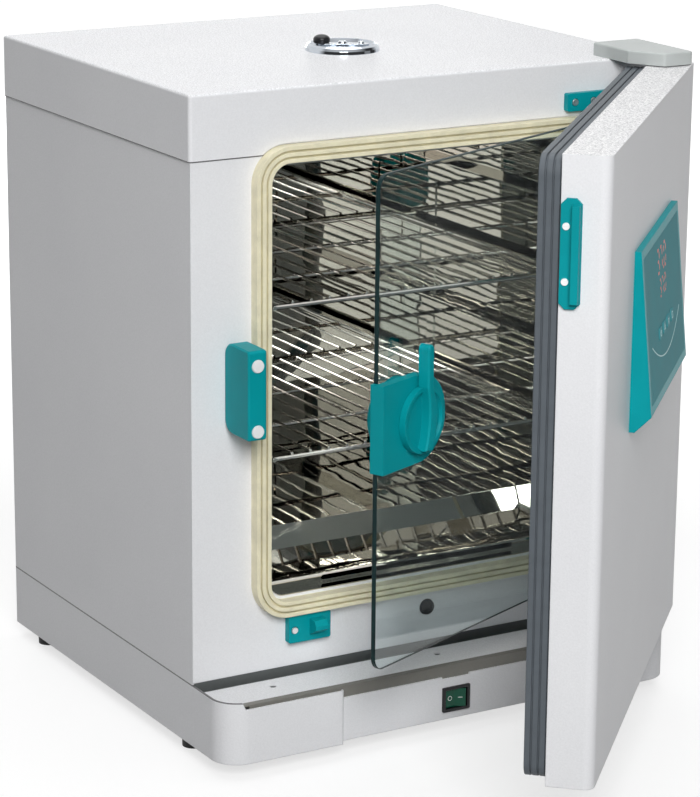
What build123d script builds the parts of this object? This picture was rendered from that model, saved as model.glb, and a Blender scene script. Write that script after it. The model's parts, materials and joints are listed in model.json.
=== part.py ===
from build123d import *
import os

os.makedirs("parts", exist_ok=True)

# Frame: X right, Y back, Z up, millimetres, origin on the bench midway between the four feet.
# The doors stand open as in the photograph. Their pieces are drawn for the closed door, on planes
# that on_door and on_glass carry round the hinge to the open pose.

# Cabinet
cabinet_width = 530
cabinet_depth = 420
cabinet_height = 643
foot_height = 15
plinth_height = 63
lid_height = 63
sheet = 1.5
lid_sheet = 1.4
lid_corner = 3.5
lid_edge = 2.5
flange = 13
touch_gap = 0.3
bolt_clearance = 0.1

half_width = cabinet_width / 2
lid_front = -cabinet_depth / 2
body_half = half_width - lid_sheet
frame_front = lid_front + lid_sheet
body_back = -frame_front
base_z = foot_height
plinth_top = base_z + plinth_height
lid_top = base_z + cabinet_height
lid_bottom = lid_top - lid_height
panel_top = lid_top - lid_sheet - 2
frame_back = frame_front + sheet
plinth_mid_z = base_z + plinth_height / 2

# Chamber and its seal
chamber_width = 358
chamber_height = 428
chamber_depth = 345
chamber_mid_z = 369.5
chamber_corner = 16
liner_sheet = 1
gasket_width = 16
gasket_depth = 12
gasket_setback = 4
gasket_ridges = 3
gasket_groove = 2
gasket_groove_depth = 3.5

liner_back = frame_front + chamber_depth
chamber_floor = chamber_mid_z - chamber_height / 2
chamber_roof = chamber_mid_z + chamber_height / 2
gasket_inner_width = chamber_width + 2 * gasket_setback
gasket_inner_height = chamber_height + 2 * gasket_setback
gasket_outer_width = gasket_inner_width + 2 * gasket_width
gasket_outer_height = gasket_inner_height + 2 * gasket_width
gasket_corner = chamber_corner + gasket_setback + gasket_width
insulation_half_width = body_half - sheet - flange - 1.5
insulation_top = panel_top - 3

# Base under the doors
base_reach = 66
fascia_sheet = 2
fascia_corner = 28
block_inner_x = 131
block_step = 4
rim_cut_x = 240
rim_drop = 7
tray_drop = 5
trough_width = 8.4
trough_depth = 13
front_gap = 2.5
tray_hole = 7
tray_hole_pitch = 189
tray_hole_y = 26
switch_panel_top_drop = 16
switch_panel_lift = 2
switch_panel_overlap = 10

fascia_front = frame_front - base_reach
panel_face = fascia_front + block_step
apron_front = panel_face + fascia_sheet
tray_top = plinth_top - tray_drop
tray_rear = frame_front - trough_width
frame_bottom = plinth_top + front_gap
fascia_inner_half = body_half - fascia_sheet

# Openings in the back of the plinth
inlet_x = 150
inlet_width = 27
inlet_height = 20
vent_slots_x = -110
vent_slot_count = 4
vent_slot_pitch = 9
vent_slot_length = 90
vent_slot_width = 4

# Power switch
bezel_width = 32
bezel_height = 26
bezel_thickness = 2
switch_body_width = 28
switch_body_height = 22
switch_body_depth = 24
switch_z = 38
rocker_half_width = 11.2
rocker_height = 19
rocker_end_rise = 5.5
rocker_mid_rise = 3
rocker_back = 7
rocker_tilt = 10
rocker_pin = 3
window_width = 25.4
window_height = 20
window_depth = 17
pivot_depth = 6
running_gap = 0.05

pivot_y = panel_face - bezel_thickness + pivot_depth

# Outer door
door_left = -260
door_right = 264
door_bottom = 88
door_top = 657
door_reach = 65
door_gap = 22
door_sheet = 2
door_edge_radius = 10
door_rim_radius = 2
door_recess = 54
door_hinge = (251, frame_front - 41)
door_open_angle = 46
door_pin = 8
door_pin_length = 18
door_gasket_left = -257
door_gasket_right = 249
door_gasket_bottom = 91
door_gasket_top = 654
door_gasket_band = 13
door_gasket_corner = 16
door_gasket_lobes = 3
door_gasket_waist = 1.6
recess_margin = 3
inner_sheet = 1.2

door_face = frame_front - door_reach
door_back = frame_front - door_gap
door_width = door_right - door_left
door_height = door_top - door_bottom
door_mid_x = (door_left + door_right) / 2
door_mid_z = (door_bottom + door_top) / 2
seal_mid_x = (door_gasket_left + door_gasket_right) / 2
seal_mid_z = (door_gasket_bottom + door_gasket_top) / 2
seal_width = door_gasket_right - door_gasket_left
seal_height = door_gasket_top - door_gasket_bottom
recess_width = seal_width - 2 * (door_gasket_band + recess_margin)
recess_height = seal_height - 2 * (door_gasket_band + recess_margin)
recess_floor = frame_front - door_recess
recess_corner = 10
seal_face = lid_front - touch_gap

# Glass door
pane_width = 385
pane_bottom = 129
pane_top = 603
pane_thickness = 5
pane_corner = 14
glass_hinge_x = 201
glass_open_angle = 23
glass_pin = 5
lug_reach = 6
clamp_thickness = 5

pane_back = frame_front - gasket_depth - touch_gap
pane_front = pane_back - pane_thickness
pane_mid_y = (pane_back + pane_front) / 2
pane_mid_z = (pane_bottom + pane_top) / 2
glass_hinge = (glass_hinge_x, pane_mid_y)

# Knob and latch
knob_x = -141
knob_z = 367
plate_radius = 42.5
plate_left = -197
plate_thickness = 10
knob_radius = 32
knob_disc = 7
knob_rim = 4
knob_dish = 3
wing_reach = 73
wing_tail = 30
wing_width = 9
wing_belly = 6
wing_rise = 1.7
wing_depth = 12
spindle = 12
boss_radius = 36
boss_depth = 20
boss_wall = 4
receiver_left = -228
receiver_right = -208
receiver_bottom = 332
receiver_top = 420
receiver_reach = 48
slot_depth = 14
slot_bottom = 355
slot_top = 404
slot_clearance = 1

plate_front = pane_front - plate_thickness
knob_back = plate_front - touch_gap
knob_front = knob_back - knob_disc
wing_back = knob_back - wing_rise
wing_front = wing_back - wing_depth
boss_end = pane_back + boss_depth

# Control housing on the outer door
housing_left = -113
housing_right = 123
housing_top = 544
housing_low = 392
housing_bottom = 377
housing_top_depth = 6
housing_low_depth = 20
housing_bottom_depth = 5
housing_wall = 2.5
face_margin = 8
key_count = 4
key_pitch = 25
key_width = 15
key_height = 11
key_z = 451
key_travel = 0.4
key_stand = 0.9
key_clearance = 0.15

face_sheet = 1
display_z = 512
display_width = 96
display_height = 34
display_depth = 3
board_width = 190
board_height = 104
board_sheet = 1.2

housing_mid_x = (housing_left + housing_right) / 2
slope = Plane(
    origin=(housing_mid_x, door_face - (housing_top_depth + housing_low_depth) / 2,
            (housing_top + housing_low) / 2),
    x_dir=(1, 0, 0),
    z_dir=(0, housing_low - housing_top, housing_low_depth - housing_top_depth),
)
face_width = housing_right - housing_left - 2 * face_margin
face_height = housing_top - housing_low - 2 * face_margin
key_offset = key_z - slope.origin.Z
display_offset = display_z - slope.origin.Z

# Handle strip
handle_bottom = 524
handle_top = 620
handle_front = frame_front - 40.8
handle_back = frame_front - 22.4
handle_flange = 2.5
handle_reach = 9
handle_rib = 8
handle_chamfer = 5
handle_screw_y = frame_front - 27.4
handle_screw_pitch = 48
handle_screw_length = 12

# Door bushings and cable opening
bushing_radius = 7
bushing_length = 16
cable_left = -20
cable_width = 60
cable_bottom = 420
cable_height = 60

# Clamps on the glass
clamp_left = 158
clamp_right = 196
clamp_grip = 30

# Shelves and rails
shelf_first_z = 290
shelf_pitch = 76
shelf_levels = 4
shelf_half_width = 166
shelf_front_y = frame_front + 15
shelf_back_y = liner_back - 7
shelf_rod = 3
shelf_cross_rod = 4.4
shelf_rod_count = 15
rail_ledge = 15
rail_leg = 26
rail_sheet = 1.2
upright_width = 14

# Floor cover, heater and probe
cover_sheet = 1
cover_side_gap = 1
cover_ledge_z = 165
cover_step_z = 187
cover_front_y = frame_front + 15
cover_step_y = frame_front + 102
cover_step_run = 10
cover_slot_half = 112
cover_slot_height = 5
heater_rod = 8
heater_z = 171
heater_tail_x = 40
heater_half_width = 150
heater_front_y = 0
heater_back_y = 60
heater_bend = 18
probe_x = 120
probe_z = 520
probe_rod = 5

# Vent on the lid
vent_x = 0
vent_y = -35
dish_radius = 38
dish_height = 7
dish_floor = 2
duct_outer = 42
duct_wall = 2
port_radius = 7
port_ring = 16
shutter_radius = 28
shutter_thickness = 1.2
strap_angle = 150
strap_width = 13
strap_height = 3
vent_knob_ring = 21
vent_knob_radius = 8.5
vent_knob_height = 9


def level(z):
    """Horizontal plane at a height."""
    return Plane.XY.offset(z)


def facing(y):
    """Upright plane at a depth, seen from the front: sketch x is X, sketch y is Z, normal -Y."""
    return Plane.XZ.offset(-y)


def side(x):
    """Upright plane at a width: sketch x is Y, sketch y is Z, normal +X."""
    return Plane.YZ.offset(x)


def swung(plane, hinge, angle):
    """A plane drawn for a closed door, carried round the door's hinge."""
    swing = Pos(hinge[0], hinge[1]) * Rot(Z=angle) * Pos(-hinge[0], -hinge[1])
    return Plane(swing * plane.location)


def on_door(plane):
    return swung(plane, door_hinge, door_open_angle)


def on_glass(plane):
    return swung(plane, glass_hinge, glass_open_angle)


def span(x0, x1, y0, y1, mode=Mode.ADD):
    """Sketch a rectangle from its four limits."""
    with Locations(((x0 + x1) / 2, (y0 + y1) / 2)):
        Rectangle(x1 - x0, y1 - y0, mode=mode)


def frame_outline(width, height, corner, band):
    """Sketch a rounded frame: a rounded rectangle with a smaller one cut from it."""
    RectangleRounded(width, height, corner)
    RectangleRounded(width - 2 * band, height - 2 * band, max(corner - band, 1), mode=Mode.SUBTRACT)


def door_plan(inset, back):
    """Sketch the door's plan, shrunk by an inset and rounded at its two front corners."""
    left, right, front = door_left + inset, door_right - inset, door_face + inset
    with BuildLine(mode=Mode.PRIVATE) as outline:
        FilletPolyline((left, back), (left, front), (right, front), (right, back),
                       radius=door_edge_radius - inset)
        Line((right, back), (left, back))
    make_face(outline.edges())


def at_knob(y):
    """Upright plane at a depth on the closed glass door, centred on the knob."""
    return on_glass(Plane(origin=(knob_x, y, knob_z), x_dir=(1, 0, 0), z_dir=(0, -1, 0)))


def save(piece, label):
    """Label a finished piece and write it as one node."""
    piece.part.label = label
    export_step(piece.part, f"parts/{label}.step")


# Plinth: a folded box, open at the front, that carries the body and holds the electronics
with BuildPart() as plinth:
    with BuildSketch(level(base_z)):
        span(-body_half, body_half, frame_front, body_back)
    extrude(amount=plinth_height)
    with BuildSketch(level(base_z + sheet)):
        span(sheet - body_half, body_half - sheet, frame_front, body_back - sheet)
    extrude(amount=plinth_height - 2 * sheet, mode=Mode.SUBTRACT)
    with BuildSketch(level(plinth_top - sheet)):
        span(sheet - body_half, body_half - sheet, frame_front, frame_back)
    extrude(amount=sheet, mode=Mode.SUBTRACT)
    with BuildSketch(facing(body_back)):
        with Locations((vent_slots_x, plinth_mid_z)):
            with GridLocations(0, vent_slot_pitch, 1, vent_slot_count):
                SlotOverall(vent_slot_length, vent_slot_width)
        with Locations((inlet_x, plinth_mid_z)):
            Rectangle(inlet_width + 2 * bolt_clearance, inlet_height + 2 * bolt_clearance)
    extrude(amount=sheet, mode=Mode.SUBTRACT)
save(plinth, "plinth")

# Feet under the plinth
foot_x = half_width - 22
foot_front_y = lid_front + 40
with BuildPart() as feet:
    with BuildSketch(level(0)):
        with Locations(*[(sx * foot_x, sy * foot_front_y) for sx in (-1, 1) for sy in (-1, 1)]):
            Circle(11.5)
    extrude(amount=foot_height, taper=-2)
save(feet, "rubber_feet")

# Side panels: one folded sheet each, with returns at the back and the top
for label, hand in (("left_side_panel", -1), ("right_side_panel", 1)):
    outer_x = hand * body_half
    inner_x = hand * (body_half - sheet)
    return_x = hand * (body_half - sheet - flange)
    with BuildPart() as side_panel:
        with BuildSketch(level(plinth_top)):
            span(min(outer_x, inner_x), max(outer_x, inner_x), frame_back, body_back - sheet)
            span(min(outer_x, return_x), max(outer_x, return_x), body_back - 2 * sheet, body_back - sheet)
        extrude(amount=panel_top - plinth_top)
        with BuildSketch(level(panel_top - sheet)):
            span(min(outer_x, return_x), max(outer_x, return_x), frame_back + flange, body_back - sheet)
        extrude(amount=sheet)
        with BuildSketch(level(plinth_top)):
            span(min(inner_x, return_x), max(inner_x, return_x), frame_back, body_back)
        extrude(amount=sheet, mode=Mode.SUBTRACT)
    save(side_panel, label)

# Back panel with a pressed field and its screw row
with BuildPart() as back_panel:
    with BuildSketch(facing(body_back)):
        span(-body_half, body_half, plinth_top, panel_top)
    extrude(amount=sheet)
    with BuildSketch(facing(body_back)):
        with Locations((0, (plinth_top + panel_top) / 2)):
            with GridLocations(2 * body_half - 16, (panel_top - plinth_top) / 2 - 12, 2, 3):
                Circle(2)
    extrude(amount=sheet, mode=Mode.SUBTRACT)
save(back_panel, "back_panel")

# Front frame: the face round the chamber, with side returns
with BuildPart() as front_frame:
    with BuildSketch(facing(frame_back)):
        span(-body_half, body_half, frame_bottom, panel_top)
        with Locations((0, chamber_mid_z)):
            RectangleRounded(chamber_width + 2 * liner_sheet, chamber_height + 2 * liner_sheet,
                             chamber_corner + liner_sheet, mode=Mode.SUBTRACT)
        with Locations((0, 116)):
            Circle(6, mode=Mode.SUBTRACT)
    extrude(amount=sheet)
    with BuildSketch(level(plinth_top)):
        for hand in (-1, 1):
            edges = sorted((hand * (body_half - sheet), hand * (body_half - 2 * sheet)))
            span(edges[0], edges[1], frame_back, frame_back + flange)
    extrude(amount=panel_top - flange - plinth_top)
save(front_frame, "front_frame")

# Lid: a cap over the body, its front skirt cut round the chamber gasket
with BuildPart() as top_lid:
    with BuildSketch(level(lid_bottom)):
        Rectangle(cabinet_width, cabinet_depth)
    extrude(amount=lid_height)
    fillet(top_lid.edges().filter_by(Axis.Z), lid_corner)
    fillet(top_lid.edges().group_by(Axis.Z)[-1], lid_edge)
    with BuildSketch(level(lid_bottom)):
        Rectangle(cabinet_width - 2 * lid_sheet, cabinet_depth - 2 * lid_sheet)
    extrude(amount=lid_height - lid_sheet, mode=Mode.SUBTRACT)
    with BuildSketch(facing(frame_front)):
        with Locations((0, chamber_mid_z)):
            RectangleRounded(gasket_outer_width + 2, gasket_outer_height + 2, gasket_corner + 1)
    extrude(amount=lid_sheet, mode=Mode.SUBTRACT)
    with BuildSketch(level(lid_top)):
        with Locations((vent_x, vent_y)):
            Circle(duct_outer / 2 + touch_gap)
    extrude(amount=-lid_sheet, mode=Mode.SUBTRACT)
save(top_lid, "top_lid")

# Chamber liner: a polished box, open at the front
with BuildPart() as chamber_liner:
    with BuildSketch(facing(liner_back + liner_sheet)):
        with Locations((0, chamber_mid_z)):
            RectangleRounded(chamber_width + 2 * liner_sheet, chamber_height + 2 * liner_sheet,
                             chamber_corner + liner_sheet)
    extrude(amount=chamber_depth + liner_sheet)
    with BuildSketch(facing(liner_back)):
        with Locations((0, chamber_mid_z)):
            RectangleRounded(chamber_width, chamber_height, chamber_corner)
    extrude(amount=chamber_depth, mode=Mode.SUBTRACT)
    with BuildSketch(level(chamber_roof)):
        with Locations((vent_x, vent_y)):
            Circle(duct_outer / 2 + touch_gap)
    extrude(amount=liner_sheet, mode=Mode.SUBTRACT)
    with BuildSketch(facing(liner_back + liner_sheet)):
        with Locations((-heater_tail_x, heater_z), (heater_tail_x, heater_z)):
            Circle(heater_rod / 2 + touch_gap)
        with Locations((probe_x, probe_z)):
            Circle(probe_rod / 2 + touch_gap)
    extrude(amount=liner_sheet, mode=Mode.SUBTRACT)
save(chamber_liner, "chamber_liner")

# Insulation between liner and panels
with BuildPart() as insulation:
    with BuildSketch(facing(body_back - 2 * sheet)):
        span(-insulation_half_width, insulation_half_width, plinth_top, insulation_top)
    extrude(amount=body_back - 2 * sheet - frame_back)
    with BuildSketch(facing(liner_back + liner_sheet)):
        with Locations((0, chamber_mid_z)):
            RectangleRounded(chamber_width + 2 * liner_sheet, chamber_height + 2 * liner_sheet,
                             chamber_corner + liner_sheet)
    extrude(amount=chamber_depth + liner_sheet, mode=Mode.SUBTRACT)
    with BuildSketch(level(insulation_top)):
        with Locations((vent_x, vent_y)):
            Circle(duct_outer / 2 + touch_gap)
    extrude(amount=chamber_roof - insulation_top, mode=Mode.SUBTRACT)
    with BuildSketch(facing(body_back - 2 * sheet)):
        span(-heater_tail_x - 20, heater_tail_x + 20, plinth_top, heater_z + 12)
        with Locations((probe_x, probe_z)):
            Circle(probe_rod)
    extrude(amount=body_back - 2 * sheet - liner_back - liner_sheet, mode=Mode.SUBTRACT)
    with BuildSketch(facing(frame_back + 6)):
        with Locations((0, 116)):
            Circle(8)
    extrude(amount=6, mode=Mode.SUBTRACT)
save(insulation, "insulation")

# Chamber gasket: a silicone frame with raised ridges
with BuildPart() as chamber_gasket:
    with BuildSketch(facing(frame_front)):
        with Locations((0, chamber_mid_z)):
            frame_outline(gasket_outer_width, gasket_outer_height, gasket_corner, gasket_width)
    extrude(amount=gasket_depth - gasket_groove_depth)
    ridge = (gasket_width - (gasket_ridges - 1) * gasket_groove) / gasket_ridges
    with BuildSketch(facing(frame_front - gasket_depth + gasket_groove_depth)):
        with Locations((0, chamber_mid_z)):
            for step in range(gasket_ridges):
                inset = step * (ridge + gasket_groove)
                frame_outline(gasket_outer_width - 2 * inset, gasket_outer_height - 2 * inset,
                              gasket_corner - inset, ridge)
    extrude(amount=gasket_groove_depth)
save(chamber_gasket, "chamber_gasket")

# Base corner blocks: bent sheet with a rounded corner and a lowered front rim
for label, hand in (("base_block_left", -1), ("base_block_right", 1)):
    middle = fascia_sheet / 2
    with BuildPart() as base_block:
        with BuildSketch(level(base_z)):
            with BuildLine():
                FilletPolyline((hand * (body_half - middle), frame_front),
                               (hand * (body_half - middle), fascia_front + middle),
                               (hand * (block_inner_x + middle), fascia_front + middle),
                               (hand * (block_inner_x + middle), panel_face),
                               radius=[fascia_corner - middle, 2])
            trace(line_width=fascia_sheet)
        extrude(amount=plinth_height)
        with BuildSketch(facing(panel_face)):
            with BuildLine():
                Polyline((hand * (rim_cut_x + rim_drop / 2), plinth_top),
                         (hand * rim_cut_x, plinth_top - rim_drop),
                         (hand * (block_inner_x - 1), plinth_top - rim_drop),
                         (hand * (block_inner_x - 1), plinth_top), close=True)
            make_face()
        extrude(amount=block_step + 1, mode=Mode.SUBTRACT)
    save(base_block, label)

# Tray under the doors: apron, plate and drip trough bent from one sheet
with BuildPart() as tray_plate:
    with BuildSketch(level(tray_top - sheet)):
        span(-fascia_inner_half, fascia_inner_half, apron_front, tray_rear + sheet)
        fillet(vertices().group_by(Axis.Y)[0], fascia_corner - fascia_sheet - block_step)
    extrude(amount=sheet)
    with BuildSketch(side(-fascia_inner_half)):
        span(tray_rear, frame_back, tray_top - trough_depth, tray_top)
        span(frame_front, frame_back, tray_top - trough_depth, frame_bottom)
        span(tray_rear + sheet, frame_front, tray_top - trough_depth + sheet, frame_bottom,
             mode=Mode.SUBTRACT)
    extrude(amount=2 * fascia_inner_half)
    with BuildSketch(level(base_z + switch_panel_lift + 2)):
        reach = fascia_inner_half - fascia_corner
        span(-reach, reach, apron_front, apron_front + sheet)
    extrude(amount=tray_top - base_z - switch_panel_lift - 2)
    with BuildSketch(level(tray_top)):
        with Locations((0, frame_front - tray_hole_y)):
            with GridLocations(tray_hole_pitch, 0, 3, 1):
                Circle(tray_hole / 2)
    extrude(amount=-sheet, mode=Mode.SUBTRACT)
    with BuildSketch(facing(apron_front + sheet)):
        with Locations((0, switch_z)):
            Rectangle(switch_body_width + 2 * bolt_clearance, switch_body_height + 2 * bolt_clearance)
    extrude(amount=sheet, mode=Mode.SUBTRACT)
save(tray_plate, "tray_plate")

# Recessed switch panel between the corner blocks
with BuildPart() as switch_panel:
    panel_half = block_inner_x + switch_panel_overlap
    with BuildSketch(facing(apron_front)):
        span(-panel_half, panel_half, base_z + switch_panel_lift, plinth_top - switch_panel_top_drop)
        with Locations((0, switch_z)):
            Rectangle(switch_body_width + 2 * bolt_clearance, switch_body_height + 2 * bolt_clearance,
                      mode=Mode.SUBTRACT)
        with Locations((0, plinth_top - switch_panel_top_drop)):
            Rectangle(bezel_width, 4, mode=Mode.SUBTRACT)
    extrude(amount=fascia_sheet)
save(switch_panel, "switch_panel")

# Power switch body and bezel
with BuildPart() as switch_body:
    with BuildSketch(facing(panel_face)):
        with Locations((0, switch_z)):
            RectangleRounded(bezel_width, bezel_height, 1.2)
    extrude(amount=bezel_thickness)
    with BuildSketch(facing(panel_face + switch_body_depth)):
        with Locations((0, switch_z)):
            Rectangle(switch_body_width, switch_body_height)
    extrude(amount=switch_body_depth)
    with BuildSketch(facing(panel_face - bezel_thickness + window_depth)):
        with Locations((0, switch_z)):
            Rectangle(window_width, window_height)
    extrude(amount=window_depth, mode=Mode.SUBTRACT)
    with BuildSketch(level(switch_z - window_height / 2 - 0.6)):
        with Locations((0, pivot_y)):
            Circle(rocker_pin / 2 + running_gap)
    extrude(amount=window_height + 1.2, mode=Mode.SUBTRACT)
    with BuildSketch(facing(panel_face + switch_body_depth + 7)):
        with Locations((0, switch_z)):
            with GridLocations(9, 9, 2, 2):
                Rectangle(0.8, 4.8)
    extrude(amount=7)
save(switch_body, "switch_body")

# Rocker, shown switched off with its left end pressed in
with BuildPart() as power_rocker:
    tilt = Plane(origin=(0, pivot_y, switch_z - rocker_height / 2), z_dir=(0, 0, 1)).rotated((0, 0, -rocker_tilt))
    with BuildSketch(tilt):
        with BuildLine():
            Polyline((-rocker_half_width, -rocker_end_rise), (0, -rocker_mid_rise),
                     (rocker_half_width, -rocker_end_rise), (rocker_half_width - 2, rocker_back),
                     (2 - rocker_half_width, rocker_back), close=True)
        make_face()
    extrude(amount=rocker_height)
    with BuildSketch(level(switch_z - window_height / 2 - 0.5)):
        with Locations((0, pivot_y)):
            Circle(rocker_pin / 2)
    extrude(amount=window_height + 1)
save(power_rocker, "power_rocker")

# Shelf rails: four angles on two uprights, spot welded to each chamber wall
rail_front_y = frame_front + 20
rail_back_y = liner_back - 5
for label, hand in (("shelf_rail_left", -1), ("shelf_rail_right", 1)):
    wall_x = hand * chamber_width / 2
    leg_x = hand * (chamber_width / 2 - rail_sheet)
    ledge_x = hand * (chamber_width / 2 - rail_ledge)
    ledge_zs = [shelf_first_z - shelf_cross_rod / 2 + n * shelf_pitch for n in range(shelf_levels)]
    with BuildPart() as shelf_rail:
        with BuildSketch(facing(rail_back_y)):
            for z in ledge_zs:
                span(min(wall_x, leg_x), max(wall_x, leg_x), z - rail_leg, z)
                span(min(wall_x, ledge_x), max(wall_x, ledge_x), z - rail_sheet, z)
        extrude(amount=rail_back_y - rail_front_y)
        with BuildSketch(side(min(wall_x, leg_x))):
            for y in (rail_front_y + 20, rail_back_y - 60):
                span(y, y + upright_width, ledge_zs[0] - rail_leg, ledge_zs[-1])
        extrude(amount=rail_sheet)
    save(shelf_rail, label)

# Wire shelves: long rods welded across four cross rods
for label, row in (("wire_shelf_lower", 0), ("wire_shelf_upper", 2)):
    shelf_z = shelf_first_z + row * shelf_pitch
    rod_pitch = 2 * shelf_half_width / (shelf_rod_count + 1)
    half_cross = shelf_cross_rod / 2
    with BuildPart() as wire_shelf:
        with BuildSketch(side(-shelf_half_width)):
            for step in range(4):
                y = shelf_front_y + step * (shelf_back_y - shelf_front_y) / 3
                with Locations((y, shelf_z)):
                    RegularPolygon(half_cross, 8, major_radius=False, rotation=22.5)
        extrude(amount=2 * shelf_half_width)
        with BuildSketch(facing(shelf_back_y + half_cross)):
            with Locations((0, shelf_z)):
                with GridLocations(2 * shelf_half_width, 0, 2, 1):
                    RegularPolygon(half_cross, 8, major_radius=False, rotation=22.5)
        extrude(amount=shelf_back_y - shelf_front_y + 2 * half_cross)
        with BuildSketch(facing(shelf_back_y)):
            with Locations((0, shelf_z + half_cross + shelf_rod / 2 - 0.4)):
                with GridLocations(rod_pitch, 0, shelf_rod_count, 1):
                    RegularPolygon(shelf_rod / 2, 8, major_radius=False, rotation=22.5)
        extrude(amount=shelf_back_y - shelf_front_y)
    save(wire_shelf, label)

# Floor cover: a ledge behind a slotted lip, then a step over the heater
with BuildPart() as floor_cover:
    cover_half = chamber_width / 2 - cover_side_gap
    cover_back_y = liner_back - 3
    with BuildSketch(side(-cover_half)):
        with BuildLine():
            Polyline((cover_front_y, chamber_floor), (cover_front_y, cover_ledge_z),
                     (cover_step_y, cover_ledge_z), (cover_step_y + cover_step_run, cover_step_z),
                     (cover_back_y, cover_step_z), (cover_back_y, chamber_floor),
                     (cover_back_y - cover_sheet, chamber_floor),
                     (cover_back_y - cover_sheet, cover_step_z - cover_sheet),
                     (cover_step_y + cover_step_run + cover_sheet / 2, cover_step_z - cover_sheet),
                     (cover_step_y + cover_sheet / 2, cover_ledge_z - cover_sheet),
                     (cover_front_y + cover_sheet, cover_ledge_z - cover_sheet),
                     (cover_front_y + cover_sheet, chamber_floor), close=True)
        make_face()
    extrude(amount=2 * cover_half)
    with BuildSketch(facing(liner_back)):
        with Locations((0, chamber_mid_z)):
            RectangleRounded(2 * cover_half, chamber_height, chamber_corner - cover_side_gap)
    extrude(amount=chamber_depth, mode=Mode.INTERSECT)
    with BuildSketch(facing(cover_back_y)):
        span(-heater_tail_x - heater_rod, heater_tail_x + heater_rod, chamber_floor, heater_z + heater_rod)
    extrude(amount=cover_sheet, mode=Mode.SUBTRACT)
    with BuildSketch(facing(cover_front_y + cover_sheet)):
        with Locations((0, (chamber_floor + cover_ledge_z) / 2)):
            SlotOverall(2 * cover_slot_half, cover_slot_height)
    extrude(amount=cover_sheet, mode=Mode.SUBTRACT)
save(floor_cover, "floor_cover")

# Heater: one bent tube under the cover, with both ends out through the back of the liner
with BuildPart() as heater:
    tail_y = body_back - 2 * sheet - 20
    with BuildLine():
        FilletPolyline((-heater_tail_x, tail_y, heater_z), (-heater_tail_x, heater_back_y, heater_z),
                       (-heater_half_width, heater_back_y, heater_z),
                       (-heater_half_width, heater_front_y, heater_z),
                       (heater_half_width, heater_front_y, heater_z),
                       (heater_half_width, heater_back_y, heater_z),
                       (heater_tail_x, heater_back_y, heater_z), (heater_tail_x, tail_y, heater_z),
                       radius=heater_bend)
    with BuildSketch(Plane(origin=(-heater_tail_x, tail_y, heater_z), z_dir=(0, -1, 0))):
        RegularPolygon(heater_rod / 2, 8)
    sweep()
save(heater, "heater_tube")

# Temperature probe through the back of the liner
with BuildPart() as probe:
    with BuildSketch(facing(liner_back + 30)):
        with Locations((probe_x, probe_z)):
            Circle(probe_rod / 2)
    extrude(amount=95)
    with BuildSketch(facing(liner_back)):
        with Locations((probe_x, probe_z)):
            RegularPolygon(6, 6)
    extrude(amount=4)
save(probe, "temperature_probe")

# Brackets that carry the glass door, their pins and screws
bracket_left = 153
bracket_right = glass_hinge_x + lug_reach
bracket_thickness = 7
bracket_height = 18
lug_left = glass_hinge_x - 8
lug_front = pane_mid_y - lug_reach
lug_thickness = 12
lug_lift = 5
clamp_lug = 8.5
screw_head = 7.6
screw_hole = 4.2
screw_sink = 2
bracket_lift = 7
hinge_plate = 3
hinge_screw_pitch = 18
hinge_x, hinge_y = door_hinge
hinge_left = hinge_x - 20
hinge_right = hinge_x + 7
hinge_screw_spot = (hinge_x - 7, lid_front + 13)
glass_brackets = (
    ("glass_hinge_bracket_top", pane_top + bracket_lift, 1, lid_front),
    ("glass_hinge_bracket_bottom", pane_bottom - bracket_lift, -1, frame_front),
)
for label, near_z, up, wall_y in glass_brackets:
    far_z = near_z + up * bracket_height
    lug_near = near_z + up * lug_lift
    lug_far = lug_near + up * lug_thickness
    with BuildPart() as bracket:
        with BuildSketch(facing(wall_y)):
            span(bracket_left, bracket_right, min(near_z, far_z), max(near_z, far_z))
            fillet(vertices(), 2)
        extrude(amount=bracket_thickness)
        with BuildSketch(level(min(lug_near, lug_far))):
            with BuildLine():
                Polyline((lug_left, wall_y), (lug_left, pane_mid_y), (lug_left + 2, lug_front),
                         (bracket_right, lug_front), (bracket_right, wall_y), close=True)
            make_face()
            with Locations((glass_hinge_x, pane_mid_y)):
                Circle(glass_pin / 2 + running_gap, mode=Mode.SUBTRACT)
        extrude(amount=lug_thickness)
        with BuildSketch(facing(wall_y - bracket_thickness)):
            with Locations((bracket_left + 20, (near_z + far_z) / 2)):
                with GridLocations(22, 0, 2, 1):
                    Circle(screw_hole / 2)
        extrude(amount=-bracket_thickness, mode=Mode.SUBTRACT)
        with BuildSketch(facing(wall_y - bracket_thickness)):
            with Locations((bracket_left + 20, (near_z + far_z) / 2)):
                with GridLocations(22, 0, 2, 1):
                    Circle(screw_head / 2 + bolt_clearance)
        extrude(amount=-screw_sink, mode=Mode.SUBTRACT)
    save(bracket, label)

with BuildPart() as glass_pins:
    for label, near_z, up, wall_y in glass_brackets:
        ends = sorted((near_z - up * (bracket_lift - touch_gap), near_z + up * (lug_lift + lug_thickness)))
        with BuildSketch(level(ends[0])):
            with Locations((glass_hinge_x, pane_mid_y)):
                Circle(glass_pin / 2)
        extrude(amount=ends[1] - ends[0])
save(glass_pins, "glass_hinge_pins")

# Screw pairs: middle, pitch, the face they sit on and the thickness they pass
screw_pairs = [
    ((bracket_left + 20, near_z + up * bracket_height / 2), 22, wall_y, bracket_thickness)
    for label, near_z, up, wall_y in glass_brackets
]

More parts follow.
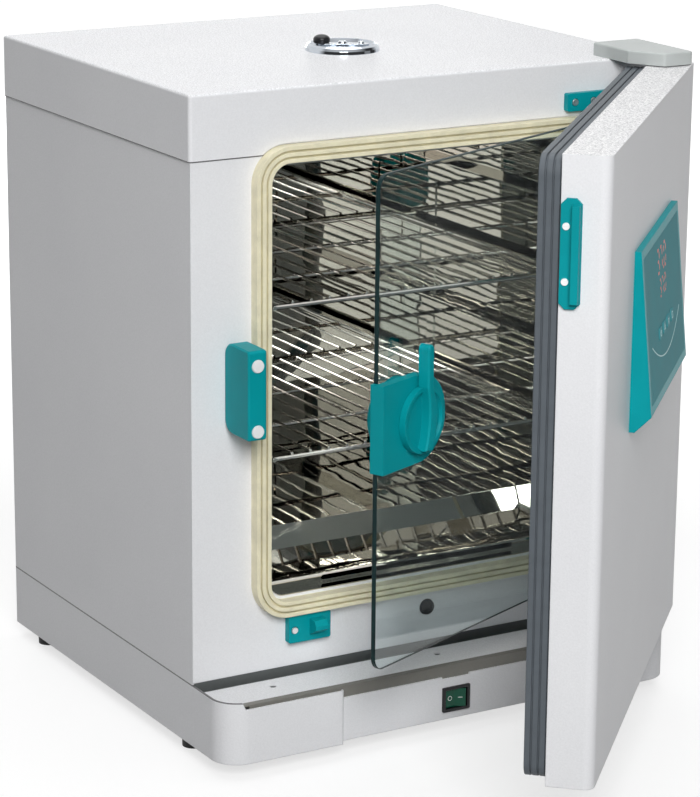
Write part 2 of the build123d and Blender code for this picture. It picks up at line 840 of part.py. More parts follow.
# Lower left rest that lifts the glass door as it shuts
rest_left = -161
rest_right = -114
rest_bottom = 106
rest_top = 134
rest_thickness = 8
tongue_left = -138
tongue_right = -124
tongue_top = pane_bottom - touch_gap
with BuildPart() as glass_rest:
    with BuildSketch(facing(frame_front)):
        span(rest_left, rest_right, rest_bottom, rest_top)
        fillet(vertices(), 2)
    extrude(amount=rest_thickness)
    with BuildSketch(side(tongue_left)):
        with BuildLine():
            Polyline((frame_front - rest_thickness, rest_bottom + 6),
                     (frame_front - rest_thickness, tongue_top),
                     (pane_front, tongue_top), (pane_front - 4, tongue_top - 5),
                     (pane_front - 4, tongue_top - 9), close=True)
        make_face()
    extrude(amount=tongue_right - tongue_left)
    with BuildSketch(facing(frame_front - rest_thickness)):
        with Locations(((rest_left + rest_right) / 2, rest_bottom + 13)):
            with GridLocations(34, 0, 2, 1):
                Circle(screw_hole / 2)
    extrude(amount=-rest_thickness, mode=Mode.SUBTRACT)
    with BuildSketch(facing(frame_front - rest_thickness)):
        with Locations(((rest_left + rest_right) / 2, rest_bottom + 13)):
            with GridLocations(34, 0, 2, 1):
                Circle(screw_head / 2 + bolt_clearance)
    extrude(amount=-screw_sink, mode=Mode.SUBTRACT)
save(glass_rest, "glass_rest")
screw_pairs.append((((rest_left + rest_right) / 2, rest_bottom + 13), 34, frame_front, rest_thickness))

with BuildPart() as cabinet_screws:
    for (middle_x, middle_z), pitch, wall_y, depth in screw_pairs:
        for y, length, radius, draft in (
            (wall_y, depth - screw_sink, screw_hole / 2 - running_gap, 0),
            (wall_y - depth + screw_sink, screw_sink + 0.8, screw_head / 2, 12),
        ):
            with BuildSketch(facing(y)):
                with Locations((middle_x, middle_z)):
                    with GridLocations(pitch, 0, 2, 1):
                        Circle(radius)
            extrude(amount=length, taper=draft)
    for z, length, radius, draft in (
        (lid_top, hinge_plate, screw_hole / 2 - running_gap, 0),
        (lid_top + hinge_plate, 2.4, screw_head / 2, 12),
    ):
        with BuildSketch(level(z)):
            with Locations(hinge_screw_spot):
                with GridLocations(hinge_screw_pitch, 0, 2, 1):
                    Circle(radius)
        extrude(amount=length, taper=draft)
save(cabinet_screws, "cabinet_screws")

# Latch receiver: the knob's wing turns down into the pocket in its right side
with BuildPart() as receiver:
    with BuildSketch(side(receiver_left)):
        span(frame_front - receiver_reach, frame_front, receiver_bottom, receiver_top)
        fillet(vertices().group_by(Axis.X)[-1], 13)
        fillet(vertices().group_by(Axis.X)[0], 3)
    extrude(amount=receiver_right - receiver_left)
    chamfer(receiver.edges().filter_by(Axis.Z).group_by(Axis.Y)[0], 1.5)
    with BuildSketch(side(receiver_right)):
        span(wing_front - slot_clearance, wing_back + slot_clearance, slot_bottom, slot_top)
    extrude(amount=-slot_depth, mode=Mode.SUBTRACT)
    cap_zs = (receiver_bottom + 9, receiver_top - 15)
    cap_x = (receiver_left + receiver_right) / 2
    with BuildSketch(facing(frame_front - receiver_reach)):
        with Locations(*[(cap_x, z) for z in cap_zs]):
            Circle(4)
    extrude(amount=-4, mode=Mode.SUBTRACT)
save(receiver, "latch_receiver")

with BuildPart() as receiver_caps:
    with BuildSketch(facing(frame_front - receiver_reach)):
        with Locations(*[(cap_x, z) for z in cap_zs]):
            Circle(6.5)
    extrude(amount=1.6, taper=20)
    with BuildSketch(facing(frame_front - receiver_reach + 3)):
        with Locations(*[(cap_x, z) for z in cap_zs]):
            Circle(3.9)
    extrude(amount=3)
save(receiver_caps, "receiver_caps")

# Blanking plug in the front frame
with BuildPart() as plug:
    with BuildSketch(facing(frame_front)):
        with Locations((0, 116)):
            Circle(8.3)
    extrude(amount=2.6, taper=15)
    with BuildSketch(facing(frame_front - 2.6)):
        with Locations((0, 116)):
            Circle(4.5)
    extrude(amount=-1.2, mode=Mode.SUBTRACT)
    with BuildSketch(facing(frame_front + 5)):
        with Locations((0, 116)):
            Circle(5.9)
            Circle(4.2, mode=Mode.SUBTRACT)
    extrude(amount=5)
save(plug, "blanking_plug")

# Outer door hinge: a plate on the lid with a pin down, a block on the tray with a pin up
with BuildPart() as door_hinge_top:
    with BuildSketch(level(lid_top)):
        span(hinge_left, hinge_right, hinge_y - 8, lid_front + 26)
        fillet(vertices().group_by(Axis.Y)[0], 6)
    extrude(amount=hinge_plate)
    with BuildSketch(level(lid_top + hinge_plate)):
        with Locations((hinge_x, hinge_y)):
            Circle(door_pin / 2)
    extrude(amount=-door_pin_length - hinge_plate)
    with BuildSketch(level(lid_top + hinge_plate)):
        with Locations(hinge_screw_spot):
            with GridLocations(hinge_screw_pitch, 0, 2, 1):
                Circle(screw_hole / 2)
    extrude(amount=-hinge_plate, mode=Mode.SUBTRACT)
save(door_hinge_top, "door_hinge_top")

hinge_block_top = door_bottom - 2
with BuildPart() as door_hinge_bottom:
    with BuildSketch(level(tray_top)):
        span(hinge_left, hinge_right, hinge_y - 9, tray_rear - 1)
        fillet(vertices().group_by(Axis.Y)[0], 6)
    extrude(amount=hinge_block_top - tray_top)
    with BuildSketch(level(hinge_block_top)):
        with Locations((hinge_x, hinge_y)):
            Circle(door_pin / 2)
    extrude(amount=door_pin_length)
save(door_hinge_bottom, "door_hinge_bottom")

# Moulded cap over the top hinge
cap_left = 207
cap_right = 262
cap_front = frame_front - base_reach
cap_rear = frame_front + 30
cap_height = 13
cap_wall = 2
with BuildPart() as hinge_cap:
    with BuildSketch(level(lid_top)):
        with BuildLine():
            Polyline((cap_left, cap_rear), (cap_right, cap_rear), (cap_right, cap_front),
                     (cap_left + 20, cap_front), (cap_left, cap_front + 34), close=True)
        make_face()
        fillet(vertices(), 4)
    extrude(amount=cap_height)
    fillet(hinge_cap.edges().group_by(Axis.Z)[-1], 2)
    with BuildSketch(level(lid_top)):
        with BuildLine():
            Polyline((cap_left, cap_rear), (cap_right, cap_rear), (cap_right, cap_front),
                     (cap_left + 20, cap_front), (cap_left, cap_front + 34), close=True)
        make_face()
        offset(amount=-cap_wall)
    extrude(amount=cap_height - cap_wall, mode=Mode.SUBTRACT)
save(hinge_cap, "hinge_cap")

# Vent: a chromed dish on a duct through the insulation
with BuildPart() as vent_duct:
    with BuildSketch(level(chamber_roof)):
        with Locations((vent_x, vent_y)):
            Circle(duct_outer / 2)
            Circle(duct_outer / 2 - duct_wall, mode=Mode.SUBTRACT)
    extrude(amount=lid_top - chamber_roof)
save(vent_duct, "vent_duct")

dish_top = lid_top + dish_height
with BuildPart() as vent_dish:
    with BuildSketch(Plane.XZ.offset(-vent_y)):
        with BuildLine():
            Line((0, lid_top), (dish_radius, lid_top))
            Polyline((dish_radius, lid_top), (dish_radius - 0.5, lid_top + 3),
                     (dish_radius - 2, dish_top - 1.4), (dish_radius - 5, dish_top))
            Line((dish_radius - 5, dish_top), (dish_radius - 8, lid_top + dish_floor))
            Line((dish_radius - 8, lid_top + dish_floor), (0, lid_top + dish_floor))
            Line((0, lid_top + dish_floor), (0, lid_top))
        make_face()
    revolve(axis=Axis((vent_x, vent_y, 0), (0, 0, 1)))
    with BuildSketch(level(lid_top)):
        with Locations((vent_x, vent_y)):
            with PolarLocations(port_ring, 2, start_angle=strap_angle + 90):
                Circle(port_radius)
            Circle(2.5)
    extrude(amount=dish_floor, mode=Mode.SUBTRACT)
save(vent_dish, "vent_dish")

shutter_z = lid_top + dish_floor + touch_gap
strap_top = shutter_z + shutter_thickness + strap_height
with BuildPart() as vent_shutter:
    with BuildSketch(level(shutter_z)):
        with Locations((vent_x, vent_y)):
            Circle(shutter_radius)
            with PolarLocations(port_ring, 2, start_angle=strap_angle + 90):
                Circle(port_radius, mode=Mode.SUBTRACT)
    extrude(amount=shutter_thickness)
    with BuildSketch(level(shutter_z + shutter_thickness)):
        with Locations(Location((vent_x, vent_y), strap_angle)):
            SlotOverall(2 * shutter_radius - 2, strap_width)
    extrude(amount=strap_height)
    with BuildSketch(level(strap_top)):
        with Locations((vent_x, vent_y)):
            Circle(4.5)
            with PolarLocations(port_ring + 3, 1, start_angle=strap_angle + 180):
                Circle(3.2)
    extrude(amount=2, taper=15)
    with BuildSketch(level(lid_top)):
        with Locations((vent_x, vent_y)):
            Circle(2.5 - running_gap)
    extrude(amount=dish_floor + touch_gap + 0.2)
save(vent_shutter, "vent_shutter")

with BuildPart() as vent_knob:
    with BuildSketch(level(strap_top)):
        with Locations((vent_x, vent_y)):
            with PolarLocations(vent_knob_ring, 1, start_angle=strap_angle):
                Circle(vent_knob_radius)
    extrude(amount=vent_knob_height)
    chamfer(vent_knob.edges().group_by(Axis.Z)[-1], 1.2)
save(vent_knob, "vent_knob")

# Mains inlet in the back of the plinth
with BuildPart() as inlet:
    with BuildSketch(facing(body_back + 3)):
        with Locations((inlet_x, plinth_mid_z)):
            RectangleRounded(inlet_width + 23, inlet_height + 3, 5)
            with GridLocations(inlet_width + 13, 0, 2, 1):
                Circle(1.7, mode=Mode.SUBTRACT)
    extrude(amount=3)
    with BuildSketch(facing(body_back)):
        with Locations((inlet_x, plinth_mid_z)):
            Rectangle(inlet_width, inlet_height)
    extrude(amount=17)
    with BuildSketch(facing(body_back + 3)):
        with Locations((inlet_x, plinth_mid_z)):
            RectangleRounded(inlet_width - 3, inlet_height - 3.5, 3)
    extrude(amount=17, mode=Mode.SUBTRACT)
    with BuildSketch(facing(body_back - 14)):
        with Locations((inlet_x, plinth_mid_z - 1)):
            with Locations((-7, -1), (7, -1), (0, 3)):
                Rectangle(2, 4)
    extrude(amount=-14)
save(inlet, "mains_inlet")

# Control electronics on the plinth floor
board_z = base_z + sheet + 8
with BuildPart() as power_board:
    with BuildSketch(level(board_z)):
        span(-60, 90, 60, 170)
    extrude(amount=1.6)
    with BuildSketch(level(base_z + sheet)):
        with Locations((15, 115)):
            with GridLocations(136, 96, 2, 2):
                Circle(3.5)
    extrude(amount=8)
    with BuildSketch(level(board_z + 1.6)):
        span(-50, -5, 70, 112)
    extrude(amount=30)
    with BuildSketch(level(board_z + 1.6)):
        with Locations((35, 90)):
            with GridLocations(24, 0, 2, 1):
                Circle(8)
        span(20, 60, 120, 140)
    extrude(amount=20)
save(power_board, "power_board")

# Outer door shell: a pan with rounded front corners, open at the back
with BuildPart() as door_shell:
    for inset, mode in ((0, Mode.ADD), (door_sheet, Mode.SUBTRACT)):
        with BuildSketch(on_door(level(door_bottom + inset))):
            door_plan(inset, door_back)
        extrude(amount=door_height - 2 * inset, mode=mode)
    for z, inward in ((door_top, -1), (door_bottom, 1)):
        with BuildSketch(level(z)):
            with Locations(door_hinge):
                Circle(bushing_radius)
        extrude(amount=inward * door_sheet, mode=Mode.SUBTRACT)
    with BuildSketch(on_door(facing(door_face + door_sheet))):
        span(cable_left, cable_left + cable_width, cable_bottom, cable_bottom + cable_height)
    extrude(amount=door_sheet, mode=Mode.SUBTRACT)
save(door_shell, "door_shell")

# Flanged bushings that carry the door on its two pins
with BuildPart() as door_bushings:
    for z, inward in ((door_top, -1), (door_bottom, 1)):
        with BuildSketch(level(z)):
            with Locations(door_hinge):
                Circle(bushing_radius)
        extrude(amount=inward * bushing_length)
        with BuildSketch(level(z + inward * door_sheet)):
            with Locations(door_hinge):
                Circle(bushing_radius + 2.5)
        extrude(amount=inward * 2)
        with BuildSketch(level(z)):
            with Locations(door_hinge):
                Circle(door_pin / 2 + running_gap)
        extrude(amount=inward * bushing_length, mode=Mode.SUBTRACT)
save(door_bushings, "door_bushings")

# Inner panel of the outer door: a pressed tray that clears the glass door and its knob
with BuildPart() as door_inner_panel:
    with BuildSketch(on_door(facing(door_back))):
        span(door_left + door_sheet, door_right - door_sheet, door_bottom + door_sheet, door_top - door_sheet)
    extrude(amount=inner_sheet)
    for inset, mode in ((0, Mode.ADD), (inner_sheet, Mode.SUBTRACT)):
        with BuildSketch(on_door(facing(door_back))):
            with Locations((seal_mid_x, seal_mid_z)):
                RectangleRounded(recess_width + 2 * inner_sheet - 2 * inset,
                                 recess_height + 2 * inner_sheet - 2 * inset,
                                 recess_corner + inner_sheet - inset)
        extrude(amount=door_back - recess_floor + inner_sheet - inset, mode=mode)
save(door_inner_panel, "door_inner_panel")

# Insulation inside the outer door
fill_gap = touch_gap
with BuildPart() as door_insulation:
    inset = door_sheet + fill_gap
    with BuildSketch(on_door(level(door_bottom + inset))):
        door_plan(inset, door_back - inner_sheet - fill_gap)
    extrude(amount=door_height - 2 * inset)
    wrap = inner_sheet + fill_gap
    with BuildSketch(on_door(facing(door_back))):
        with Locations((seal_mid_x, seal_mid_z)):
            RectangleRounded(recess_width + 2 * wrap, recess_height + 2 * wrap, recess_corner + wrap)
    extrude(amount=door_back - recess_floor + wrap, mode=Mode.SUBTRACT)
    for z, inward in ((door_top, -1), (door_bottom, 1)):
        with BuildSketch(level(z)):
            with Locations(door_hinge):
                Circle(bushing_radius + 4)
        extrude(amount=inward * (bushing_length + 6), mode=Mode.SUBTRACT)
    with BuildSketch(on_door(level(handle_bottom))):
        span(door_left, door_left + handle_screw_length + 2, handle_screw_y - 4, handle_screw_y + 4)
    extrude(amount=handle_top - handle_bottom, mode=Mode.SUBTRACT)
save(door_insulation, "door_insulation")

# Door gasket: three soft lobes stacked towards the cabinet, with narrow waists between
with BuildPart() as door_gasket:
    lobe = (seal_face - door_back) / door_gasket_lobes
    for step in range(door_gasket_lobes):
        near_y = door_back + step * lobe
        with BuildSketch(on_door(facing(near_y + lobe))):
            with Locations((seal_mid_x, seal_mid_z)):
                frame_outline(seal_width, seal_height, door_gasket_corner, door_gasket_band)
        extrude(amount=lobe - door_gasket_waist)
        with BuildSketch(on_door(facing(near_y + door_gasket_waist))):
            with Locations((seal_mid_x, seal_mid_z)):
                frame_outline(seal_width - 2 * door_gasket_waist, seal_height - 2 * door_gasket_waist,
                              door_gasket_corner - door_gasket_waist,
                              door_gasket_band - 2 * door_gasket_waist)
        extrude(amount=door_gasket_waist)
save(door_gasket, "door_gasket")

# Handle strip on the free edge: a chamfered flange with a finger rib
with BuildPart() as handle_strip:
    with BuildSketch(on_door(side(door_left))):
        span(handle_front, handle_back, handle_bottom, handle_top)
        chamfer(vertices(), handle_chamfer)
    extrude(amount=-handle_flange)
    with BuildSketch(on_door(side(door_left - handle_flange))):
        span(handle_front + 0.6, handle_front + 0.6 + handle_rib, handle_bottom + handle_chamfer,
             handle_top - handle_chamfer)
    extrude(amount=handle_flange - handle_reach, taper=6)
    with BuildSketch(on_door(side(door_left))):
        with Locations((handle_screw_y, (handle_bottom + handle_top) / 2)):
            with GridLocations(0, handle_screw_pitch, 1, 2):
                Circle(2.1)
    extrude(amount=-handle_flange, mode=Mode.SUBTRACT)
save(handle_strip, "handle_strip")

with BuildPart() as handle_screws:
    for x, depth, radius in ((door_left - handle_flange, -1.2, 3.2), (door_left, -handle_flange, 2.05)):
        with BuildSketch(on_door(side(x))):
            with Locations((handle_screw_y, (handle_bottom + handle_top) / 2)):
                with GridLocations(0, handle_screw_pitch, 1, 2):
                    Circle(radius)
        extrude(amount=depth)
save(handle_screws, "handle_screws")

# Control housing on the door's face: a wedge, deepest near its lower edge
slope_top = (door_face - housing_top_depth, housing_top)
slope_low = (door_face - housing_low_depth, housing_low)
with BuildPart() as control_housing:
    with BuildSketch(on_door(side(housing_left))):
        with BuildLine():
            Polyline((door_face, housing_bottom), (door_face - housing_bottom_depth, housing_bottom),
                     slope_low, slope_top, (door_face, housing_top), close=True)
        make_face()
    extrude(amount=housing_right - housing_left)
    with BuildSketch(on_door(side(housing_left + housing_wall))):
        with BuildLine():
            Polyline((door_face, housing_bottom + housing_wall),
                     (door_face - housing_low_depth + 2 * housing_wall, housing_low + housing_wall),
                     (door_face - housing_top_depth + housing_wall, housing_top - housing_wall),
                     (door_face, housing_top - housing_wall), close=True)
        make_face()
    extrude(amount=housing_right - housing_left - 2 * housing_wall, mode=Mode.SUBTRACT)
    with BuildSketch(on_door(slope)):
        Rectangle(face_width + 0.2, face_height + 0.2)
    extrude(amount=-face_sheet, mode=Mode.SUBTRACT)
    with BuildSketch(on_door(slope)):
        with Locations((0, key_offset)):
            with GridLocations(key_pitch, 0, key_count, 1):
                Rectangle(key_width + 2 * key_clearance, key_height + 2 * key_clearance)
        with Locations((0, display_offset)):
            Rectangle(display_width, display_height)
    extrude(amount=-2 * housing_wall, mode=Mode.SUBTRACT)
save(control_housing, "control_housing")

# Control face: the membrane over the housing, with the keys coming through
with BuildPart() as control_face:
    with BuildSketch(on_door(slope)):
        RectangleRounded(face_width, face_height, 4)
        with Locations((0, key_offset)):
            with GridLocations(key_pitch, 0, key_count, 1):
                Rectangle(key_width + 2 * key_clearance, key_height + 2 * key_clearance,
                          mode=Mode.SUBTRACT)
    extrude(amount=-face_sheet)
save(control_face, "control_face")

key_start = -(key_count - 1) / 2
for number in range(key_count):
    with BuildPart() as key:
        with BuildSketch(on_door(slope).offset(-housing_wall)):
            with Locations(((key_start + number) * key_pitch, key_offset)):
                RectangleRounded(key_width, key_height, 2)
        extrude(amount=housing_wall + key_stand)
    save(key, f"key_{number + 1}")

# Display and key board inside the housing
with BuildPart() as control_board:
    with BuildSketch(on_door(slope).offset(-housing_wall - display_depth)):
        with Locations((0, (display_offset + key_offset) / 2)):
            Rectangle(board_width, board_height)
    extrude(amount=-board_sheet)
    with BuildSketch(on_door(slope).offset(-housing_wall - display_depth)):
        with Locations((0, display_offset)):
            Rectangle(display_width - 1, display_height - 1)
    extrude(amount=display_depth + housing_wall - face_sheet - 0.2)
    with BuildSketch(on_door(slope).offset(-housing_wall - display_depth)):
        with Locations((0, key_offset)):
            with GridLocations(key_pitch, 0, key_count, 1):
                Circle(2)
    extrude(amount=display_depth - key_travel - 0.2)
save(control_board, "control_board")

# Glass pane with ground edges
with BuildPart() as glass_pane:
    with BuildSketch(on_glass(facing(pane_back))):
        with Locations((0, pane_mid_z)):
            RectangleRounded(pane_width, pane_top - pane_bottom, pane_corner)
    extrude(amount=pane_thickness)
    chamfer(glass_pane.edges().group_by(SortBy.LENGTH)[-1], 0.6)
    with BuildSketch(at_knob(pane_back)):
        Circle(spindle / 2 + 1)
    extrude(amount=pane_thickness, mode=Mode.SUBTRACT)
save(glass_pane, "glass_pane")

# Clamps that carry the pane on its two pins
for label, edge_z, up in (("glass_clamp_top", pane_top, 1), ("glass_clamp_bottom", pane_bottom, -1)):
    arm = sorted((edge_z + up * touch_gap, edge_z + up * clamp_lug))
    plate = sorted((edge_z - up * clamp_grip, edge_z + up * clamp_lug))
    with BuildPart() as clamp:
        with BuildSketch(on_glass(facing(pane_front))):
            span(clamp_left, clamp_right, plate[0], plate[1])
            fillet(vertices(), 3)
        extrude(amount=clamp_thickness)
        with BuildSketch(on_glass(level(arm[0]))):
            span(clamp_left + 3, glass_hinge_x, pane_front - clamp_thickness, pane_back)
            with Locations((glass_hinge_x, pane_mid_y)):
                Circle(lug_reach)
                Circle(glass_pin / 2 + running_gap, mode=Mode.SUBTRACT)
        extrude(amount=arm[1] - arm[0])
    save(clamp, label)

# Latch plate clasping the free edge of the pane, and the boss behind it
plate_reach = knob_x - plate_left
with BuildPart() as latch_plate:
    with BuildSketch(at_knob(pane_front)):
        Circle(plate_radius)
        span(-plate_reach, 0, -plate_radius, plate_radius)
    extrude(amount=plate_thickness)
    with BuildSketch(at_knob(pane_back)):
        span(-plate_reach, -pane_width / 2 - touch_gap - knob_x, -plate_radius, plate_radius)
    extrude(amount=pane_thickness)
    with BuildSketch(at_knob(pane_front)):
        Circle(spindle / 2 + running_gap)
    extrude(amount=plate_thickness, mode=Mode.SUBTRACT)
save(latch_plate, "latch_plate")

with BuildPart() as latch_boss:
    with BuildSketch(at_knob(boss_end)):
        Circle(boss_radius)
    extrude(amount=boss_depth)
    inward = Axis((0, 0, 0), -at_knob(0).z_dir)
    chamfer(latch_boss.edges().sort_by(inward)[-1], 2.5)
    with BuildSketch(at_knob(boss_end - boss_wall)):
        Circle(spindle / 2 + running_gap)
    extrude(amount=boss_depth - boss_wall, mode=Mode.SUBTRACT)
save(latch_boss, "latch_boss")

# Knob: a dished disc on its spindle, with a wing that stands up when the glass door is free
with BuildPart() as knob:
    with BuildSketch(at_knob(knob_back)):
        Circle(knob_radius)
    extrude(amount=knob_disc)
    with BuildSketch(at_knob(knob_front)):
        Circle(knob_radius - knob_rim)
    extrude(amount=-knob_dish, taper=25, mode=Mode.SUBTRACT)
    half_wing = wing_width / 2
    heel = -wing_tail
    with BuildSketch(at_knob(wing_back)):
        with BuildLine():
            tip = ThreePointArc((-half_wing, wing_reach - half_wing), (0, wing_reach),
                                (half_wing, wing_reach - half_wing))
            Line(tip @ 1, (half_wing, knob_radius))
            ThreePointArc((half_wing, knob_radius), (half_wing + wing_belly, 0), (half_wing - 1, heel))
            Line((half_wing - 1, heel), (-half_wing - 3, heel + 2))
            ThreePointArc((-half_wing - 3, heel + 2), (wing_belly - half_wing - 3, 0),
                          (-half_wing, knob_radius))
            Line((-half_wing, knob_radius), tip @ 0)
        make_face()
    extrude(amount=wing_depth)
    chamfer(knob.edges().group_by(inward)[0], 1.5)
    with BuildSketch(at_knob(boss_end - boss_wall - touch_gap)):
        Circle(spindle / 2)
    extrude(amount=boss_end - boss_wall - touch_gap - knob_back)
save(knob, "latch_knob")
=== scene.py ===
import json
import math

import bpy
from mathutils import Matrix, Vector


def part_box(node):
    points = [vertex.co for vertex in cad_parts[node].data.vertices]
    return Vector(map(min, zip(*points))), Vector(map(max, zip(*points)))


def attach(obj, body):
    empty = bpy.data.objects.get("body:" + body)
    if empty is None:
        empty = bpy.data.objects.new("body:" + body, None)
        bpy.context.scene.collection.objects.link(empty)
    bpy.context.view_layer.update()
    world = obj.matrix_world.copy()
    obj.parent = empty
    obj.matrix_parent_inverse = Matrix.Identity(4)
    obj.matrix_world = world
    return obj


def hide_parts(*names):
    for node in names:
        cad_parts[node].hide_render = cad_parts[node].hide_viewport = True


# The object is a bench incubator with both doors standing open. Everything is in metres, in the
# model's own frame: X right, Y back, Z up, origin on the bench midway between the four feet.

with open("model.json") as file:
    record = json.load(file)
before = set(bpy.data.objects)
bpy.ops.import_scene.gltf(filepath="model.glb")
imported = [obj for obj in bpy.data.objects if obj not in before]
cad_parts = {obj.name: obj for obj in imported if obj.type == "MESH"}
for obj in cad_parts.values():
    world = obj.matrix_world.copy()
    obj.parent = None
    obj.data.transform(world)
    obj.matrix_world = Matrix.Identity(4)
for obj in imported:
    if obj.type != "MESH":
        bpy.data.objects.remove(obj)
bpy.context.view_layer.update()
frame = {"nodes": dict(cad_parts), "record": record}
nodes = frame["nodes"]

# Camera, from the photograph's perspective: angles in radians, focal length in pixels
CAMERA_PLACE = Vector((-1.531, -2.663, 1.128))
CAMERA_TURN = -0.5311
CAMERA_TILT = -0.2683
CAMERA_ROLL = -0.0089
CAMERA_REACH = 50
FOCAL_PIXELS = 3020.9
IMAGE_HEIGHT = 797
SENSOR = 36.0

# Doors: both are modelled open, and the print on the outer one is drawn for the closed door
DOOR_HINGE = Vector((0.251, -0.2496, 0))
DOOR_OPEN = math.radians(46)
DOOR_FACE = -0.2736
GLASS_OPEN = math.radians(23)

# Control face on the closed door: how far its middle stands off the door, its height and its lean
FACE_STAND = 0.013
FACE_HEIGHT = 0.152
FACE_LEAN = 0.014
FACE_MIDDLE = Vector((0.005, DOOR_FACE - FACE_STAND, 0.468))
FACE_UP = Vector((0, FACE_LEAN, FACE_HEIGHT)).normalized()
FACE_OUT = Vector((0, -FACE_HEIGHT, FACE_LEAN)).normalized()

# Print: how far it stands on a surface and reaches into it, and how far a line's corner may stick out
INK = 0.00012
SINK = 0.00005
SHARPEST_CORNER = 0.35

# Display: middle and half height of its two rows of figures
DISPLAY_X = -0.006
UPPER_ROW = 0.047
UPPER_HALF_HEIGHT = 0.0105
LOWER_ROW = 0.0215
LOWER_HALF_HEIGHT = 0.0075

# Digits: half width, line and lean for a half height of 1, pitch for a half width of 1
DIGIT_WIDTH = 0.56
DIGIT_LINE = 0.28
DIGIT_PITCH = 3.1
SLANT = 0.1
SEGMENT_GAP = 0.6

# Where the three digits and the point of a reading stand, in pitches from its middle
DIGIT_SPOTS = (-1, 0, 1.25)
POINT_SPOT = 0.62

# Seven segments: where each one lies in a digit of half width 1 and half height 1, and if it lies flat
SEGMENT_SPOTS = {"a": (0, 1, True), "b": (1, 0.5, False), "c": (1, -0.5, False), "d": (0, -1, True),
                 "e": (-1, -0.5, False), "f": (-1, 0.5, False), "g": (0, 0, True)}
DIGIT_SEGMENTS = {"0": "abcdef", "3": "abcdg", "7": "abc"}

# Arc under the keys: half width, lowest height, rise to its ends, steps to each side
ARC_HALF = 0.088
ARC_LOW = -0.043
ARC_RISE = 0.024
ARC_STEPS = 16
ARC_LINE = 0.0012

# Keys, and the half size and line of their symbols
KEY_PITCH = 0.025
KEY_ROW = -0.017
KEY_STAND = 0.0009
ICON = 0.0028
ICON_LINE = 0.0007
FULL_TURN = 360

# Power switch: the rocker's pivot, tilt, half width, and how far its ends and middle stand out
SWITCH_PIVOT = Vector((0, -0.2666, 0.038))
ROCKER_TILT = math.radians(-10)
ROCKER_HALF = 0.0112
ROCKER_END = 0.0055
ROCKER_MIDDLE = 0.003
SWITCH_MARK = 0.0022
RING_LINE = 0.0006
DASH_LINE = 0.0008

# Vent knob: foot, chamfer and waist as shares of its radius and height
KNOB_FOOT = 0.86
KNOB_CHAMFER = 0.14
KNOB_WAIST = 0.45
KNOB_SIDES = 40
DOME_STEPS = 8
QUARTER_TURN = 90

# Joints between painted sheets, the drip trough of the tray, where painted shade reaches up to the
# frame's bottom edge, and the apron of the tray
PLINTH_TOP = 0.078
LID_BOTTOM = 0.595
SEAM_HALF = 0.0007
SEAM_SHADE = 0.22
TROUGH_FRONT = -0.2171
TROUGH_RIM = 0.0806
APRON_BACK = -0.2612
APRON_RIM = 0.0735

# A face shows the coat's flecks and their painted glints, which stand for light caught on faces that look
# up, when its normal points up by more than this; the next value says how much brighter the painted
# glints are
FACES_UP = 0.6
SPECKLE_GLINT = 0.7

# The pane shows its dark edge where a face turns away from the pane's own normal
PANE_FACING = 0.85

# Colours, as linear values
WHITE_COAT = (0.80, 0.805, 0.822)
# Painted shade: the dark grey of the tray's trough and of the gap under the frame
TROUGH_PAINTED_SHADE = (0.10, 0.108, 0.108)
APRON_GREY = (0.21, 0.205, 0.185)
TEAL = (0.0008, 0.29, 0.325)
MEMBRANE = (0.055, 0.27, 0.305)
PALE_PRINT = (0.46, 0.74, 0.76)
WHITE_PRINT = (0.78, 0.84, 0.80)
CREAM = (0.83, 0.775, 0.56)
SEAL_GREY = (0.082, 0.097, 0.112)
CAP_GREY = (0.49, 0.52, 0.512)
RUBBER_BLACK = (0.025, 0.025, 0.026)
PLASTIC_BLACK = (0.012, 0.012, 0.014)
PLASTIC_WHITE = (0.84, 0.85, 0.86)
SWITCH_GREEN = (0.0, 0.075, 0.04)
POLISHED_STEEL = (0.60, 0.575, 0.525)
BRIGHT_WIRE = (0.62, 0.60, 0.57)
ZINC = (0.55, 0.56, 0.58)
PLATED_STEEL = (0.86, 0.86, 0.86)
CHROME = (0.56, 0.60, 0.65)
FLOOR_GREY = (0.35, 0.35, 0.35)

# Floor: its reach, how bright it is shown near the object and far from it, and where that changes
FLOOR_REACH = 6.0
FLOOR_GLOW_NEAR = 0.69
FLOOR_GLOW_FAR = 1.0
GLOW_START = 0.6
GLOW_END = 1.8

# Surroundings: weak fill light, what metal mirrors in front, and where front turns to back and to sky
WORLD_FILL = 0.05
MIRRORED_FRONT = 0.03
BACK_START = -0.1
BACK_END = 0.3
SKY_START = 0.55
SKY_END = 0.85


# Node helpers

def new_material(name):
    """Start a node material and return it with its nodes, links and main shader."""
    material = bpy.data.materials.new(name)
    material.use_nodes = True
    tree = material.node_tree
    return material, tree.nodes, tree.links, tree.nodes["Principled BSDF"]


def object_coordinates(tree_nodes):
    return tree_nodes.new("ShaderNodeTexCoord").outputs["Object"]


def own_normal(tree_nodes):
    return tree_nodes.new("ShaderNodeTexCoord").outputs["Normal"]


def parts_of(tree_nodes, links, vector):
    """The x, y and z of a vector socket."""
    node = tree_nodes.new("ShaderNodeSeparateXYZ")
    links.new(vector, node.inputs["Vector"])
    return node.outputs


def noise(tree_nodes, links, vector, scale, detail=2, roughness=0.5):
    """Noise texture on a vector socket."""
    texture = tree_nodes.new("ShaderNodeTexNoise")
    texture.inputs["Scale"].default_value = scale
    texture.inputs["Detail"].default_value = detail
    texture.inputs["Roughness"].default_value = roughness
    links.new(vector, texture.inputs["Vector"])
    return texture.outputs["Fac"]


def ramp(tree_nodes, links, value, low_colour, high_colour, low=0.3, high=0.7):
    """Colour ramp between two positions."""
    node = tree_nodes.new("ShaderNodeValToRGB")
    first, last = node.color_ramp.elements
    first.position, last.position = low, high
    first.color = (*low_colour, 1)
    last.color = (*high_colour, 1)
    links.new(value, node.inputs["Fac"])
    return node.outputs["Color"]


